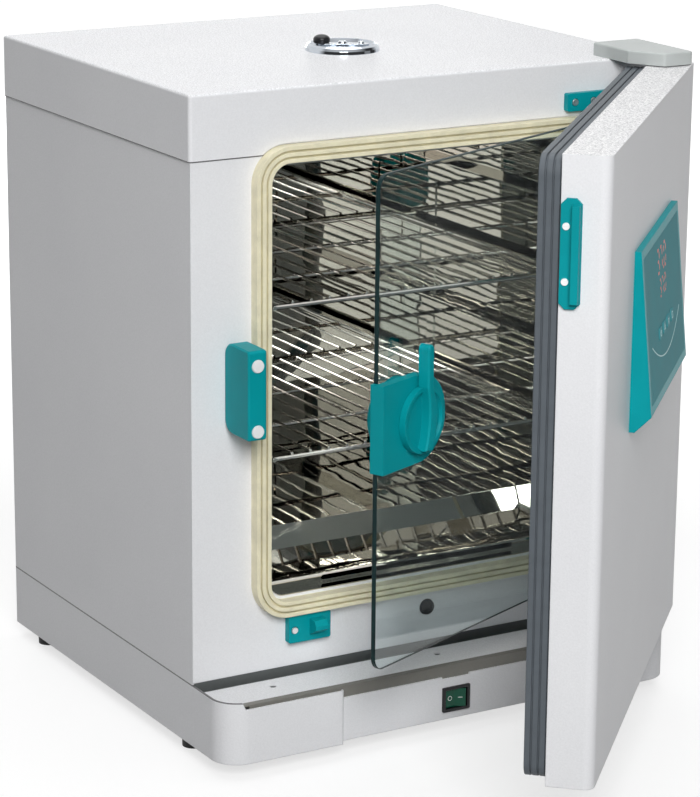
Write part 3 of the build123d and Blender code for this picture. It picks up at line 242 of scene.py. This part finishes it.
def spread(tree_nodes, links, value, low, high, start=0.0, end=1.0):
    """Map a value between start and end to the range from low to high."""
    node = tree_nodes.new("ShaderNodeMapRange")
    node.inputs["From Min"].default_value = start
    node.inputs["From Max"].default_value = end
    node.inputs["To Min"].default_value = low
    node.inputs["To Max"].default_value = high
    links.new(value, node.inputs["Value"])
    return node.outputs["Result"]


def calculate(tree_nodes, links, operation, first, second=0.0):
    """Math node on numbers or sockets."""
    node = tree_nodes.new("ShaderNodeMath")
    node.operation = operation
    for socket, value in zip(node.inputs, (first, second)):
        if isinstance(value, (int, float)):
            socket.default_value = value
        else:
            links.new(value, socket)
    return node.outputs["Value"]


def blend_colours(tree_nodes, links, factor, first, second, how="MIX"):
    """Mix of two colours, each a socket or three numbers."""
    node = tree_nodes.new("ShaderNodeMix")
    node.data_type = "RGBA"
    node.blend_type = how
    if isinstance(factor, (int, float)):
        node.inputs["Factor"].default_value = factor
    else:
        links.new(factor, node.inputs["Factor"])
    for name, value in (("A", first), ("B", second)):
        if isinstance(value, tuple):
            node.inputs[name].default_value = (*value, 1)
        else:
            links.new(value, node.inputs[name])
    return node.outputs["Result"]


def bump(tree_nodes, links, height, distance, strength, shader, previous=None):
    """Bump from a height, in metres, onto a shader's normal."""
    node = tree_nodes.new("ShaderNodeBump")
    node.inputs["Distance"].default_value = distance
    node.inputs["Strength"].default_value = strength
    links.new(height, node.inputs["Height"])
    if previous is not None:
        links.new(previous, node.inputs["Normal"])
    links.new(node.outputs["Normal"], shader.inputs["Normal"])
    return node.outputs["Normal"]


def rounded_edges(tree_nodes, radius):
    """Normals softened over an edge radius, as paint and mouldings have."""
    node = tree_nodes.new("ShaderNodeBevel")
    node.samples = 4
    node.inputs["Radius"].default_value = radius
    return node.outputs["Normal"]


def seen_rays(tree_nodes, links, kinds):
    """1 for a ray of any of the kinds named, else 0."""
    rays = tree_nodes.new("ShaderNodeLightPath")
    value = rays.outputs[kinds[0]]
    for kind in kinds[1:]:
        value = calculate(tree_nodes, links, "MAXIMUM", value, rays.outputs[kind])
    return value


def tinted(colour, factor):
    return tuple(min(1.0, channel * factor) for channel in colour)


# Material recipes

def powder_coat(name, colour, fleck_and_glint=0.0, seams=(), zones=()):
    """Baked coat: orange peel, faint clouds, dark flecks and painted glints on faces that look up, dark
    seams at heights.

    A zone is a colour with the limits on y and z inside which the sheet shows it."""
    material, tree_nodes, links, shader = new_material(name)
    place = object_coordinates(tree_nodes)
    spot = parts_of(tree_nodes, links, place)
    grain = noise(tree_nodes, links, place, scale=640, detail=3, roughness=0.7)
    cloud = noise(tree_nodes, links, place, scale=7, detail=3)
    peel = noise(tree_nodes, links, place, scale=420)
    normal = parts_of(tree_nodes, links, own_normal(tree_nodes))
    upward = calculate(tree_nodes, links, "GREATER_THAN", normal["Z"], FACES_UP)
    fine = ramp(tree_nodes, links, grain, tinted(colour, 0.95), tinted(colour, 1.02))
    # Painted glints: the bright flecks stand for light caught on faces that look up; the dark flecks are
    # the coat's own
    flecks_and_glints = ramp(tree_nodes, links, grain, tinted(colour, 1 - fleck_and_glint),
                  tinted(colour, 1 + SPECKLE_GLINT * fleck_and_glint), low=0.42, high=0.58)
    paint = blend_colours(tree_nodes, links, upward, fine, flecks_and_glints)
    clouds = ramp(tree_nodes, links, cloud, (0.965, 0.965, 0.97), (1, 1, 1))
    paint = blend_colours(tree_nodes, links, 1.0, paint, clouds, "MULTIPLY")
    for height in seams:
        above = calculate(tree_nodes, links, "SUBTRACT", spot["Z"], height)
        away = calculate(tree_nodes, links, "ABSOLUTE", above)
        near = calculate(tree_nodes, links, "LESS_THAN", away, SEAM_HALF)
        paint = blend_colours(tree_nodes, links, near, paint, tinted(colour, SEAM_SHADE))
    for zone_colour, axis_tests in zones:
        inside = 1.0
        for axis, operation, limit in axis_tests:
            test = calculate(tree_nodes, links, operation, spot[axis], limit)
            inside = calculate(tree_nodes, links, "MULTIPLY", test, inside)
        zone = ramp(tree_nodes, links, cloud, tinted(zone_colour, 0.85), tinted(zone_colour, 1.1))
        paint = blend_colours(tree_nodes, links, inside, paint, zone)
    links.new(paint, shader.inputs["Base Color"])
    links.new(spread(tree_nodes, links, grain, 0.34, 0.52), shader.inputs["Roughness"])
    shader.inputs["Specular IOR Level"].default_value = 0.22
    soft = rounded_edges(tree_nodes, 0.0012)
    bump(tree_nodes, links, peel, distance=0.00025, strength=0.6, shader=shader, previous=soft)
    return material


def moulded_plastic(name, colour, roughness=0.34, grain_size=2600, grain_depth=0.00004, edge=0.0009,
                    shine=0.3):
    """Moulded plastic with a spark-eroded grain and faint clouds in its colour."""
    material, tree_nodes, links, shader = new_material(name)
    place = object_coordinates(tree_nodes)
    cloud = noise(tree_nodes, links, place, scale=22)
    grain = noise(tree_nodes, links, place, scale=grain_size)
    links.new(ramp(tree_nodes, links, cloud, tinted(colour, 0.94), tinted(colour, 1.05)),
              shader.inputs["Base Color"])
    links.new(spread(tree_nodes, links, cloud, roughness - 0.04, roughness + 0.05),
              shader.inputs["Roughness"])
    shader.inputs["Specular IOR Level"].default_value = shine
    soft = rounded_edges(tree_nodes, edge)
    bump(tree_nodes, links, grain, distance=grain_depth, strength=0.7, shader=shader, previous=soft)
    return material


def rubber(name, colour, roughness, edge=0.0012):
    """Extruded rubber or silicone with a faint mottling and dust."""
    material, tree_nodes, links, shader = new_material(name)
    place = object_coordinates(tree_nodes)
    mottle = noise(tree_nodes, links, place, scale=60, detail=4, roughness=0.6)
    fine = noise(tree_nodes, links, place, scale=1500)
    links.new(ramp(tree_nodes, links, mottle, tinted(colour, 0.86), tinted(colour, 1.08), high=0.75),
              shader.inputs["Base Color"])
    links.new(spread(tree_nodes, links, mottle, roughness - 0.08, roughness + 0.08),
              shader.inputs["Roughness"])
    soft = rounded_edges(tree_nodes, edge)
    bump(tree_nodes, links, fine, distance=0.00006, strength=0.6, shader=shader, previous=soft)
    return material


def metal(name, colour, roughness, wave_scale=0.0, wave_depth=0.0, scratch_depth=0.00001):
    """Bare metal with fine scratches, and for thin sheet a slow waviness."""
    material, tree_nodes, links, shader = new_material(name)
    shader.inputs["Metallic"].default_value = 1.0
    place = object_coordinates(tree_nodes)
    stretch = tree_nodes.new("ShaderNodeMapping")
    stretch.inputs["Scale"].default_value = (1, 1, 14)
    links.new(place, stretch.inputs["Vector"])
    scratch = noise(tree_nodes, links, stretch.outputs["Vector"], scale=260, detail=3, roughness=0.6)
    links.new(ramp(tree_nodes, links, scratch, tinted(colour, 0.93), tinted(colour, 1.03)),
              shader.inputs["Base Color"])
    links.new(spread(tree_nodes, links, scratch, roughness * 0.6, roughness * 1.5),
              shader.inputs["Roughness"])
    soft = rounded_edges(tree_nodes, 0.0004)
    if wave_depth:
        wave = noise(tree_nodes, links, place, scale=wave_scale)
        soft = bump(tree_nodes, links, wave, distance=wave_depth, strength=1.0, shader=shader,
                    previous=soft)
    bump(tree_nodes, links, scratch, distance=scratch_depth, strength=0.4, shader=shader, previous=soft)
    return material


def pane_glass(name, normal):
    """Clear float glass, green and dark where it is seen through its ground edges."""
    material, tree_nodes, links, shader = new_material(name)
    place = object_coordinates(tree_nodes)
    smear = noise(tree_nodes, links, place, scale=9, detail=3)
    shader.inputs["Transmission Weight"].default_value = 1.0
    shader.inputs["IOR"].default_value = 1.45
    links.new(spread(tree_nodes, links, smear, 0.0, 0.02), shader.inputs["Roughness"])
    links.new(ramp(tree_nodes, links, smear, (0.88, 0.96, 0.96), (0.905, 0.975, 0.97)),
              shader.inputs["Base Color"])
    edge = tree_nodes.new("ShaderNodeBsdfPrincipled")
    depth = noise(tree_nodes, links, place, scale=120, detail=3, roughness=0.6)
    links.new(ramp(tree_nodes, links, depth, (0.001, 0.010, 0.011), (0.003, 0.026, 0.027)),
              edge.inputs["Base Color"])
    links.new(spread(tree_nodes, links, smear, 0.3, 0.45), edge.inputs["Roughness"])
    edge.inputs["Specular IOR Level"].default_value = 0.15
    facing = tree_nodes.new("ShaderNodeVectorMath")
    facing.operation = "DOT_PRODUCT"
    facing.inputs[1].default_value = normal
    links.new(own_normal(tree_nodes), facing.inputs[0])
    turned = calculate(tree_nodes, links, "ABSOLUTE", facing.outputs["Value"])
    is_edge = calculate(tree_nodes, links, "LESS_THAN", turned, PANE_FACING)
    mix = tree_nodes.new("ShaderNodeMixShader")
    links.new(is_edge, mix.inputs["Fac"])
    links.new(shader.outputs["BSDF"], mix.inputs[1])
    links.new(edge.outputs["BSDF"], mix.inputs[2])
    links.new(mix.outputs["Shader"], tree_nodes["Material Output"].inputs["Surface"])
    return material


def lit_segments(name):
    """Dim red display segments behind the membrane."""
    material, tree_nodes, links, shader = new_material(name)
    glow = noise(tree_nodes, links, object_coordinates(tree_nodes), scale=300)
    links.new(ramp(tree_nodes, links, glow, (0.24, 0.045, 0.035), (0.34, 0.08, 0.06)),
              shader.inputs["Base Color"])
    shader.inputs["Roughness"].default_value = 0.4
    shader.inputs["Emission Color"].default_value = (1.0, 0.12, 0.05, 1)
    shader.inputs["Emission Strength"].default_value = 0.12
    return material


def mineral_wool(name):
    """Yellowish fibre blanket."""
    material, tree_nodes, links, shader = new_material(name)
    fibre = noise(tree_nodes, links, object_coordinates(tree_nodes), scale=240, detail=6, roughness=0.7)
    links.new(ramp(tree_nodes, links, fibre, (0.42, 0.34, 0.14), (0.72, 0.63, 0.36)),
              shader.inputs["Base Color"])
    shader.inputs["Roughness"].default_value = 0.95
    bump(tree_nodes, links, fibre, distance=0.0015, strength=1.0, shader=shader)
    return material


def circuit_board(name):
    """Green solder mask with copper tracks showing under it."""
    material, tree_nodes, links, shader = new_material(name)
    tracks = tree_nodes.new("ShaderNodeTexBrick")
    tracks.inputs["Scale"].default_value = 160
    tracks.inputs["Color1"].default_value = (0.01, 0.10, 0.04, 1)
    tracks.inputs["Color2"].default_value = (0.02, 0.15, 0.06, 1)
    tracks.inputs["Mortar"].default_value = (0.05, 0.26, 0.12, 1)
    links.new(object_coordinates(tree_nodes), tracks.inputs["Vector"])
    links.new(tracks.outputs["Color"], shader.inputs["Base Color"])
    shader.inputs["Roughness"].default_value = 0.4
    return material


# Materials on the modelled pieces
finishes = {
    "white_coat": powder_coat("white_powder_coat", WHITE_COAT, 0.2, seams=(PLINTH_TOP, LID_BOTTOM)),
    "teal_plastic": moulded_plastic("teal_moulding", TEAL, roughness=0.4, shine=0.12),
    "control_membrane": moulded_plastic("control_membrane", MEMBRANE, roughness=0.55, grain_size=1200,
                                        grain_depth=0.00003, edge=0.0004, shine=0.06),
    "key_plastic": moulded_plastic("key_skin", tinted(MEMBRANE, 1.08), roughness=0.5, grain_size=1200,
                                   grain_depth=0.00003, edge=0.0006, shine=0.06),
    "cream_silicone": rubber("cream_silicone", CREAM, roughness=0.5, edge=0.0008),
    "grey_rubber": rubber("grey_door_seal", SEAL_GREY, roughness=0.6, edge=0.0016),
    "black_rubber": rubber("black_rubber", RUBBER_BLACK, roughness=0.7),
    "mirror_steel": metal("mirror_steel", POLISHED_STEEL, roughness=0.008, wave_scale=9,
                          wave_depth=0.0004, scratch_depth=0.0000004),
    "wire_steel": metal("bright_wire", BRIGHT_WIRE, roughness=0.12),
    "zinc_steel": metal("zinc_plate", ZINC, roughness=0.32),
    "screw_steel": metal("plated_screw", PLATED_STEEL, roughness=0.38),
    "chrome": metal("chrome_plate", CHROME, roughness=0.05, scratch_depth=0.000001),
    "clear_glass": pane_glass("pane_glass", (math.sin(GLASS_OPEN), -math.cos(GLASS_OPEN), 0)),
    "cap_plastic": moulded_plastic("grey_cap_plastic", CAP_GREY, roughness=0.42),
    "white_plastic": moulded_plastic("white_cap_plastic", PLASTIC_WHITE, roughness=0.3),
    "black_plastic": moulded_plastic("black_plastic", PLASTIC_BLACK, roughness=0.3),
    "green_switch": moulded_plastic("green_rocker", SWITCH_GREEN, roughness=0.22),
    "board_green": circuit_board("circuit_board"),
    "mineral_wool": mineral_wool("mineral_wool"),
}
for row in frame["record"]["subparts"]:
    for holder in nodes[row["node"]].material_slots:
        holder.material = finishes[row["material_slot"]]

# The doors and the tray have coats of their own: more flecks and painted glints on the doors, painted
# shade inside the trough, and grey on the apron
door_white = powder_coat("white_door_coat", WHITE_COAT, 0.36)
for name in ("door_shell", "door_inner_panel"):
    for holder in nodes[name].material_slots:
        holder.material = door_white
nodes["tray_plate"].material_slots[0].material = powder_coat("white_tray_coat", WHITE_COAT, 0.06, zones=(
    # Painted shade: the trough and the gap up to the frame's bottom edge are painted dark grey
    (TROUGH_PAINTED_SHADE, (("Y", "GREATER_THAN", TROUGH_FRONT), ("Z", "LESS_THAN", TROUGH_RIM))),
    (APRON_GREY, (("Y", "LESS_THAN", APRON_BACK), ("Z", "LESS_THAN", APRON_RIM))),
))

# Print
pale_ink = moulded_plastic("pale_print", PALE_PRINT, roughness=0.45, grain_size=1800,
                           grain_depth=0.00001, edge=0.0001)
white_ink = moulded_plastic("white_print", WHITE_PRINT, roughness=0.4, grain_size=1800,
                            grain_depth=0.00001, edge=0.0001)


# Places on the pieces that carry print

def swung_by_door(point):
    """A point drawn for the closed door, carried to the open one."""
    return DOOR_HINGE + Matrix.Rotation(DOOR_OPEN, 3, "Z") @ (point - DOOR_HINGE)


def face_point(x, y, lift):
    """A point on the control face of the open door."""
    return swung_by_door(FACE_MIDDLE + Vector((x, 0, 0)) + FACE_UP * y + FACE_OUT * lift)


def rocker_point(end):
    """A function that places points on the left (-1) or right (1) half of the rocker."""
    slope = Vector((ROCKER_HALF, end * (ROCKER_MIDDLE - ROCKER_END), 0)).normalized()
    out = Vector((slope.y, -slope.x, 0))
    middle = Vector((end * ROCKER_HALF / 2, -(ROCKER_END + ROCKER_MIDDLE) / 2, 0))
    turn = Matrix.Rotation(ROCKER_TILT, 3, "Z")

    def place(x, y, lift):
        return SWITCH_PIVOT + turn @ (middle + slope * x + out * lift) + Vector((0, 0, y))
    return place


# Drawing helpers

def add_piece(name, points, faces, material, body):
    """A visible mesh that moves with a body and belongs to a material slot."""
    mesh = bpy.data.meshes.new(name)
    mesh.from_pydata([tuple(point) for point in points], [], faces)
    mesh.update()
    mesh.materials.append(material)
    piece = bpy.data.objects.new(name, mesh)
    bpy.context.scene.collection.objects.link(piece)
    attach(piece, body)
    return piece


def add_prisms(name, outlines, to_face, lift, material, body):
    """Thin flat shapes printed on a face, one prism for each outline."""
    points, faces = [], []
    for outline in outlines:
        start, count = len(points), len(outline)
        points += [to_face(x, y, lift - SINK) for x, y in outline]
        points += [to_face(x, y, lift + INK) for x, y in outline]
        faces.append(tuple(range(start + count, start + 2 * count)))
        faces.append(tuple(range(start + count - 1, start - 1, -1)))
        for index in range(count):
            after = (index + 1) % count
            faces.append((start + index, start + after, start + count + after, start + count + index))
    return add_piece(name, points, faces, material, body)


def add_strokes(name, strokes, width, to_face, lift, material, body):
    """Printed lines on a face. A stroke is its points and whether it is closed."""
    points, faces = [], []
    for line, closed in strokes:
        line = [Vector(point) for point in line]
        start, count = len(points), len(line)
        for index, point in enumerate(line):
            before = line[index - 1] if index or closed else None
            after = line[(index + 1) % count] if index < count - 1 or closed else None
            arriving = (point - before).normalized() if before else (after - point).normalized()
            leaving = (after - point).normalized() if after else arriving
            along = (arriving + leaving).normalized()
            across = Vector((-along.y, along.x))
            reach = width / 2 / max(SHARPEST_CORNER, along.dot(arriving))
            left, right = point + across * reach, point - across * reach
            points += [to_face(left.x, left.y, lift - SINK), to_face(right.x, right.y, lift - SINK),
                       to_face(right.x, right.y, lift + INK), to_face(left.x, left.y, lift + INK)]
        for index in range(count if closed else count - 1):
            here, there = start + 4 * index, start + 4 * ((index + 1) % count)
            for side in range(4):
                beside = (side + 1) % 4
                faces.append((here + side, here + beside, there + beside, there + side))
        if not closed:
            faces.append((start + 3, start + 2, start + 1, start))
            last = start + 4 * (count - 1)
            faces.append((last, last + 1, last + 2, last + 3))
    return add_piece(name, points, faces, material, body)


def ring(radius, first=0, last=FULL_TURN, steps=24):
    """Points round a circle, or along a part of it, in degrees from +x."""
    turns = steps if last - first == FULL_TURN else steps + 1
    angles = [math.radians(first + (last - first) * step / steps) for step in range(turns)]
    return [(radius * math.cos(angle), radius * math.sin(angle)) for angle in angles]


def digit_outlines(digit, x, y, half_width, half_height, thick):
    """Hexagonal segments of one digit, leaning a little as displays do."""
    outlines = []
    for segment in DIGIT_SEGMENTS[digit]:
        across, up, lying = SEGMENT_SPOTS[segment]
        middle = Vector((across * half_width, up * half_height))
        reach = (half_width if lying else half_height / 2) - SEGMENT_GAP * thick
        half = thick / 2
        shape = [(-reach, 0), (-reach + half, half), (reach - half, half), (reach, 0),
                 (reach - half, -half), (-reach + half, -half)]
        if not lying:
            shape = [(-b, a) for a, b in shape]
        outlines.append([(x + middle.x + a + SLANT * (middle.y + b), y + middle.y + b) for a, b in shape])
    return outlines


def reading(x, y, half_height):
    """The figures 37.0 about a middle."""
    half_width = DIGIT_WIDTH * half_height
    pitch = DIGIT_PITCH * half_width
    thick = DIGIT_LINE * half_height
    outlines = []
    for spot, digit in zip(DIGIT_SPOTS, "370"):
        outlines += digit_outlines(digit, x + spot * pitch, y, half_width, half_height, thick)
    dot_x, dot_y, half = x + POINT_SPOT * pitch, y - half_height, thick / 2
    outlines.append([(dot_x - half, dot_y - half), (dot_x + half, dot_y - half),
                     (dot_x + half, dot_y + half), (dot_x - half, dot_y + half)])
    return outlines


# Figures and arc on the control face
figures = (reading(DISPLAY_X, UPPER_ROW, UPPER_HALF_HEIGHT)
           + reading(DISPLAY_X, LOWER_ROW, LOWER_HALF_HEIGHT))
add_prisms("display_figures", figures, face_point, 0, lit_segments("display_segments"), "outer_door")
arc = [(ARC_HALF * step / ARC_STEPS, ARC_LOW + ARC_RISE * (step / ARC_STEPS) ** 2)
       for step in range(-ARC_STEPS, ARC_STEPS + 1)]
add_strokes("control_face_arc", [(arc, False)], ARC_LINE, face_point, 0, pale_ink, "outer_door")

# Key symbols: broken ring with a stroke, triangle up, triangle down, square
key_icons = (
    [(ring(ICON, 125, 415, 20), False), ([(0, 0.0002), (0, 1.3 * ICON)], False)],
    [([(-ICON, -0.7 * ICON), (ICON, -0.7 * ICON), (0, ICON)], True)],
    [([(-ICON, 0.7 * ICON), (0, -ICON), (ICON, 0.7 * ICON)], True)],
    [([(-ICON, -ICON), (ICON, -ICON), (ICON, ICON), (-ICON, ICON)], True)],
)
for number, icon in enumerate(key_icons):
    middle_x = (number - 1.5) * KEY_PITCH
    moved = [([(middle_x + x, KEY_ROW + y) for x, y in line], closed) for line, closed in icon]
    add_strokes(f"key_icon_{number + 1}", moved, ICON_LINE, face_point, KEY_STAND, pale_ink,
                f"key_{number + 1}")

# Ring and dash on the rocker of the power switch
add_strokes("switch_off_mark", [(ring(SWITCH_MARK), True)], RING_LINE, rocker_point(-1), 0, white_ink,
            "power_rocker")
add_strokes("switch_on_mark", [([(-SWITCH_MARK, 0), (SWITCH_MARK, 0)], False)], DASH_LINE,
            rocker_point(1), 0, white_ink, "power_rocker")


# Vent knob

def add_vent_knob():
    """Domed knob in the place of the plain one."""
    low, high = (Vector(corner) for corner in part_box("vent_knob"))
    middle = (low + high) / 2
    radius = (high.x - low.x) / 2
    height = high.z - low.z
    waist = KNOB_WAIST * height
    profile = [(KNOB_FOOT * radius, 0), (radius, KNOB_CHAMFER * height), (radius, waist)]
    for step in range(1, DOME_STEPS):
        turn = math.radians(QUARTER_TURN * step / DOME_STEPS)
        profile.append((radius * math.cos(turn), waist + (height - waist) * math.sin(turn)))
    points = [(middle.x, middle.y, low.z), (middle.x, middle.y, high.z)]
    for ring_radius, lift in profile:
        points += [(middle.x + ring_radius * math.cos(math.tau * side / KNOB_SIDES),
                    middle.y + ring_radius * math.sin(math.tau * side / KNOB_SIDES), low.z + lift)
                   for side in range(KNOB_SIDES)]
    faces = []
    last = 2 + KNOB_SIDES * (len(profile) - 1)
    for side in range(KNOB_SIDES):
        beside = (side + 1) % KNOB_SIDES
        faces.append((0, 2 + beside, 2 + side))
        faces.append((1, last + side, last + beside))
        for level in range(len(profile) - 1):
            here, above = 2 + level * KNOB_SIDES, 2 + (level + 1) * KNOB_SIDES
            faces.append((here + side, here + beside, above + beside, above + side))
    knob = add_piece("vent_knob_dome", points, faces, finishes["black_plastic"], "vent_shutter")
    knob.data.polygons.foreach_set("use_smooth", [True] * len(knob.data.polygons))
    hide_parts("vent_knob")


add_vent_knob()


# Floor, light and camera

def add_area(name, place, aim, size, power):
    """A rectangular lamp at a place, turned to what it lights. Power is in watts."""
    lamp = bpy.data.lights.new(name, "AREA")
    lamp.shape = "RECTANGLE"
    lamp.size, lamp.size_y = size
    lamp.energy = power
    holder = bpy.data.objects.new(name, lamp)
    bpy.context.scene.collection.objects.link(holder)
    holder.location = place
    holder.rotation_euler = (Vector(aim) - Vector(place)).to_track_quat("-Z", "Y").to_euler()


def add_floor():
    """Pale floor that shows white to the camera and in reflections, and keeps the shadow."""
    mesh = bpy.data.meshes.new("floor")
    reach = FLOOR_REACH
    mesh.from_pydata([(-reach, -reach, 0), (reach, -reach, 0), (reach, reach, 0), (-reach, reach, 0)],
                     [], [(0, 1, 2, 3)])
    floor = bpy.data.objects.new("floor", mesh)
    bpy.context.scene.collection.objects.link(floor)
    material, tree_nodes, links, shader = new_material("pale_floor")
    shader.inputs["Base Color"].default_value = (*FLOOR_GREY, 1)
    shader.inputs["Roughness"].default_value = 0.9
    shader.inputs["Specular IOR Level"].default_value = 0.1
    distance = tree_nodes.new("ShaderNodeVectorMath")
    distance.operation = "LENGTH"
    links.new(object_coordinates(tree_nodes), distance.inputs[0])
    fade = spread(tree_nodes, links, distance.outputs["Value"], FLOOR_GLOW_NEAR, FLOOR_GLOW_FAR,
                  GLOW_START, GLOW_END)
    seen = seen_rays(tree_nodes, links, ("Is Camera Ray", "Is Glossy Ray", "Is Transmission Ray"))
    glow = tree_nodes.new("ShaderNodeEmission")
    links.new(calculate(tree_nodes, links, "MULTIPLY", fade, seen), glow.inputs["Strength"])
    both = tree_nodes.new("ShaderNodeAddShader")
    links.new(shader.outputs["BSDF"], both.inputs[0])
    links.new(glow.outputs["Emission"], both.inputs[1])
    links.new(both.outputs["Shader"], tree_nodes["Material Output"].inputs["Surface"])
    mesh.materials.append(material)


def add_world():
    """White to the camera and through glass, dark in front for reflections, and a weak fill."""
    world = bpy.data.worlds.new("studio")
    bpy.context.scene.world = world
    world.use_nodes = True
    tree_nodes, links = world.node_tree.nodes, world.node_tree.links
    background = tree_nodes["Background"]
    way = parts_of(tree_nodes, links, tree_nodes.new("ShaderNodeTexCoord").outputs["Generated"])
    behind = spread(tree_nodes, links, way["Y"], MIRRORED_FRONT, 1.0, BACK_START, BACK_END)
    above = spread(tree_nodes, links, way["Z"], 0.0, 1.0, SKY_START, SKY_END)
    mirrored = calculate(tree_nodes, links, "MAXIMUM", behind, above)
    glossy = seen_rays(tree_nodes, links, ("Is Glossy Ray",))
    plain = seen_rays(tree_nodes, links, ("Is Camera Ray", "Is Transmission Ray"))
    shown = calculate(tree_nodes, links, "MULTIPLY", mirrored, glossy)
    strength = calculate(tree_nodes, links, "MAXIMUM", WORLD_FILL, shown)
    strength = calculate(tree_nodes, links, "MAXIMUM", strength, plain)
    links.new(strength, background.inputs["Strength"])
    background.inputs["Color"].default_value = (1, 1, 1, 1)


add_area("key_light", place=(-1.46, -3.15, 2.35), aim=(0, -0.1, 0.35), size=(1.6, 1.6), power=128)
add_area("top_light", place=(0.2, 0.5, 3.2), aim=(0, 0, 0.6), size=(2.6, 2.6), power=50)
add_area("side_light", place=(3.0, -2.2, 1.6), aim=(0.1, -0.2, 0.35), size=(1.6, 2.2), power=3)
add_area("back_light", place=(1.3, 3.4, 0.5), aim=(0, 0.2, 0.35), size=(2.0, 0.8), power=40)
add_floor()
add_world()

lens = bpy.data.cameras.new("camera")
lens.sensor_width = SENSOR
lens.lens = FOCAL_PIXELS * SENSOR / IMAGE_HEIGHT
lens.clip_end = CAMERA_REACH
camera = bpy.data.objects.new("camera", lens)
bpy.context.scene.collection.objects.link(camera)
aim = (Matrix.Rotation(CAMERA_TURN, 4, "Z") @ Matrix.Rotation(CAMERA_TILT, 4, "X")
       @ Matrix.Rotation(CAMERA_ROLL, 4, "Y") @ Matrix.Rotation(math.radians(QUARTER_TURN), 4, "X"))
camera.matrix_world = Matrix.Translation(CAMERA_PLACE) @ aim
bpy.context.scene.camera = camera
bpy.context.scene.view_settings.view_transform = "Standard"

bpy.context.view_layer.update()
